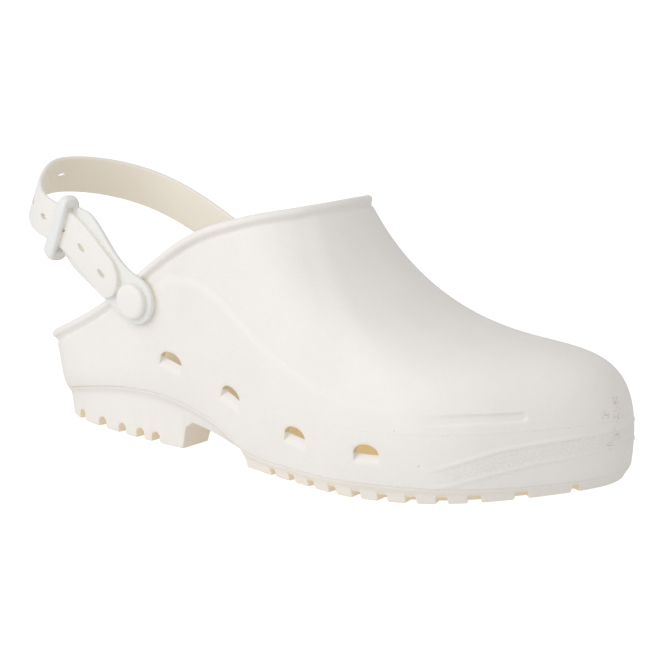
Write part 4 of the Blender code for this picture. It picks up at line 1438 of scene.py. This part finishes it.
# Each piece with the solid that it stands for and its slot
SOLE_SHAPE = across_sheet(plan_stations(True), sole_section)
FOOTBED_SHAPE = across_sheet(plan_stations(False), footbed_section)
PIECES = (
    (make_shell(SHELL_WHITE, VENT_WALL, VENT_SILL), "upper", "shell"),
    (to_piece("outsole", SOLE_SHAPE, SOLE_WHITE), "sole", "outsole"),
    (to_piece("footbed", FOOTBED_SHAPE, FOOTBED_WHITE), "insole", "footbed"),
    (make_short_strap(TAB, SLIT_WALL), "strap_short", "strap"),
    (make_long_strap(BAND, SLIT_WALL), "strap_long", "strap"),
    (make_buckle(BUCKLE), "buckle", "buckle"),
    (make_stud("stud_outer", 0.0, SHORT_THICK, STUD), "button_outer", "button"),
    (make_stud("stud_inner", TRACK[-1][0], STRAP_THICK, STUD), "button_inner", "button"),
)
for piece, node, slot in PIECES:
    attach(piece, "root")
    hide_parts(node)


# Studio
def seen_or_lighting(tree, seen, lighting):
    """One strength for the camera, another for the light that reaches the shoe."""
    path = add_node(tree, "LightPath")
    return math_node(tree, "MULTIPLY_ADD", path.outputs["Is Camera Ray"], seen - lighting, lighting)


def make_floor():
    bm = bmesh.new()
    bmesh.ops.create_grid(bm, x_segments=1, y_segments=1, size=FLOOR_HALF)
    mesh = bpy.data.meshes.new("floor")
    bm.to_mesh(mesh)
    bm.free()
    floor = bpy.data.objects.new("floor", mesh)
    bpy.context.scene.collection.objects.link(floor)
    material, tree, shader, place = start_material("floor_white", 0.9, 0.0)
    shader.inputs["Base Color"].default_value = FLOOR_GREY
    shader.inputs["Emission Color"].default_value = STUDIO_WHITE
    tree.links.new(seen_or_lighting(tree, FLOOR_SEEN, FLOOR_LIGHT), shader.inputs["Emission Strength"])
    mesh.materials.append(material)


def make_world():
    world = bpy.data.worlds.new("studio")
    bpy.context.scene.world = world
    world.use_nodes = True
    tree = world.node_tree
    tree.links.new(seen_or_lighting(tree, 1.0, AMBIENT), tree.nodes["Background"].inputs["Strength"])
    tree.nodes["Background"].inputs["Color"].default_value = STUDIO_WHITE


def make_lamp(name, towards, distance, size, power):
    data = bpy.data.lights.new(name, "AREA")
    data.shape = "SQUARE"
    data.size = size
    data.energy = power
    lamp = bpy.data.objects.new(name, data)
    bpy.context.scene.collection.objects.link(lamp)
    way = Vector(towards).normalized()
    lamp.location = way * distance + Vector((0, 0, LAMP_AIM))
    lamp.rotation_euler = way.to_track_quat("Z", "Y").to_euler()


# The photograph's view: turn and height of the camera, and where its aim lands in the picture
CAMERA_TURN = radians(40.67)
CAMERA_RISE = radians(14.94)
CAMERA_AWAY = 2.0
AIM = Vector((0.145, 0.0, 0.045))
SENSOR = 36
PICTURE = 660
PIXELS_PER_METRE = 2360
AIM_PIXEL = (338.0, 352.2)

# White surroundings, a floor that shows white but lights less, and one wide lamp from the outer side
STUDIO_WHITE = (1.0, 1.0, 1.0, 1.0)
AMBIENT = 0.67
FLOOR_HALF = 6.0
FLOOR_GREY = (0.45, 0.45, 0.45, 1.0)
FLOOR_SEEN = 0.85
FLOOR_LIGHT = 0.33
KEY_FROM = (-0.24, -1.0, 0.60)
KEY_AWAY = 1.6
KEY_SIZE = 1.9
KEY_POWER = 12.5
LAMP_AIM = 0.05


def make_camera():
    level = cos(CAMERA_RISE)
    back = Vector((sin(CAMERA_TURN) * level, -cos(CAMERA_TURN) * level, sin(CAMERA_RISE)))
    right = Vector((cos(CAMERA_TURN), sin(CAMERA_TURN), 0))
    data = bpy.data.cameras.new("camera")
    data.sensor_width = SENSOR
    data.lens = PIXELS_PER_METRE * CAMERA_AWAY * data.sensor_width / PICTURE
    data.shift_x = (PICTURE / 2 - AIM_PIXEL[0]) / PICTURE
    data.shift_y = (AIM_PIXEL[1] - PICTURE / 2) / PICTURE
    camera = bpy.data.objects.new("camera", data)
    bpy.context.scene.collection.objects.link(camera)
    turned = Matrix((right, back.cross(right), back)).transposed().to_4x4()
    camera.matrix_world = Matrix.Translation(AIM + HEEL_AT + back * CAMERA_AWAY) @ turned
    bpy.context.scene.camera = camera


make_floor()
make_world()
make_lamp("key", KEY_FROM, KEY_AWAY, KEY_SIZE, KEY_POWER)
make_camera()
bpy.context.scene.view_settings.view_transform = "Standard"
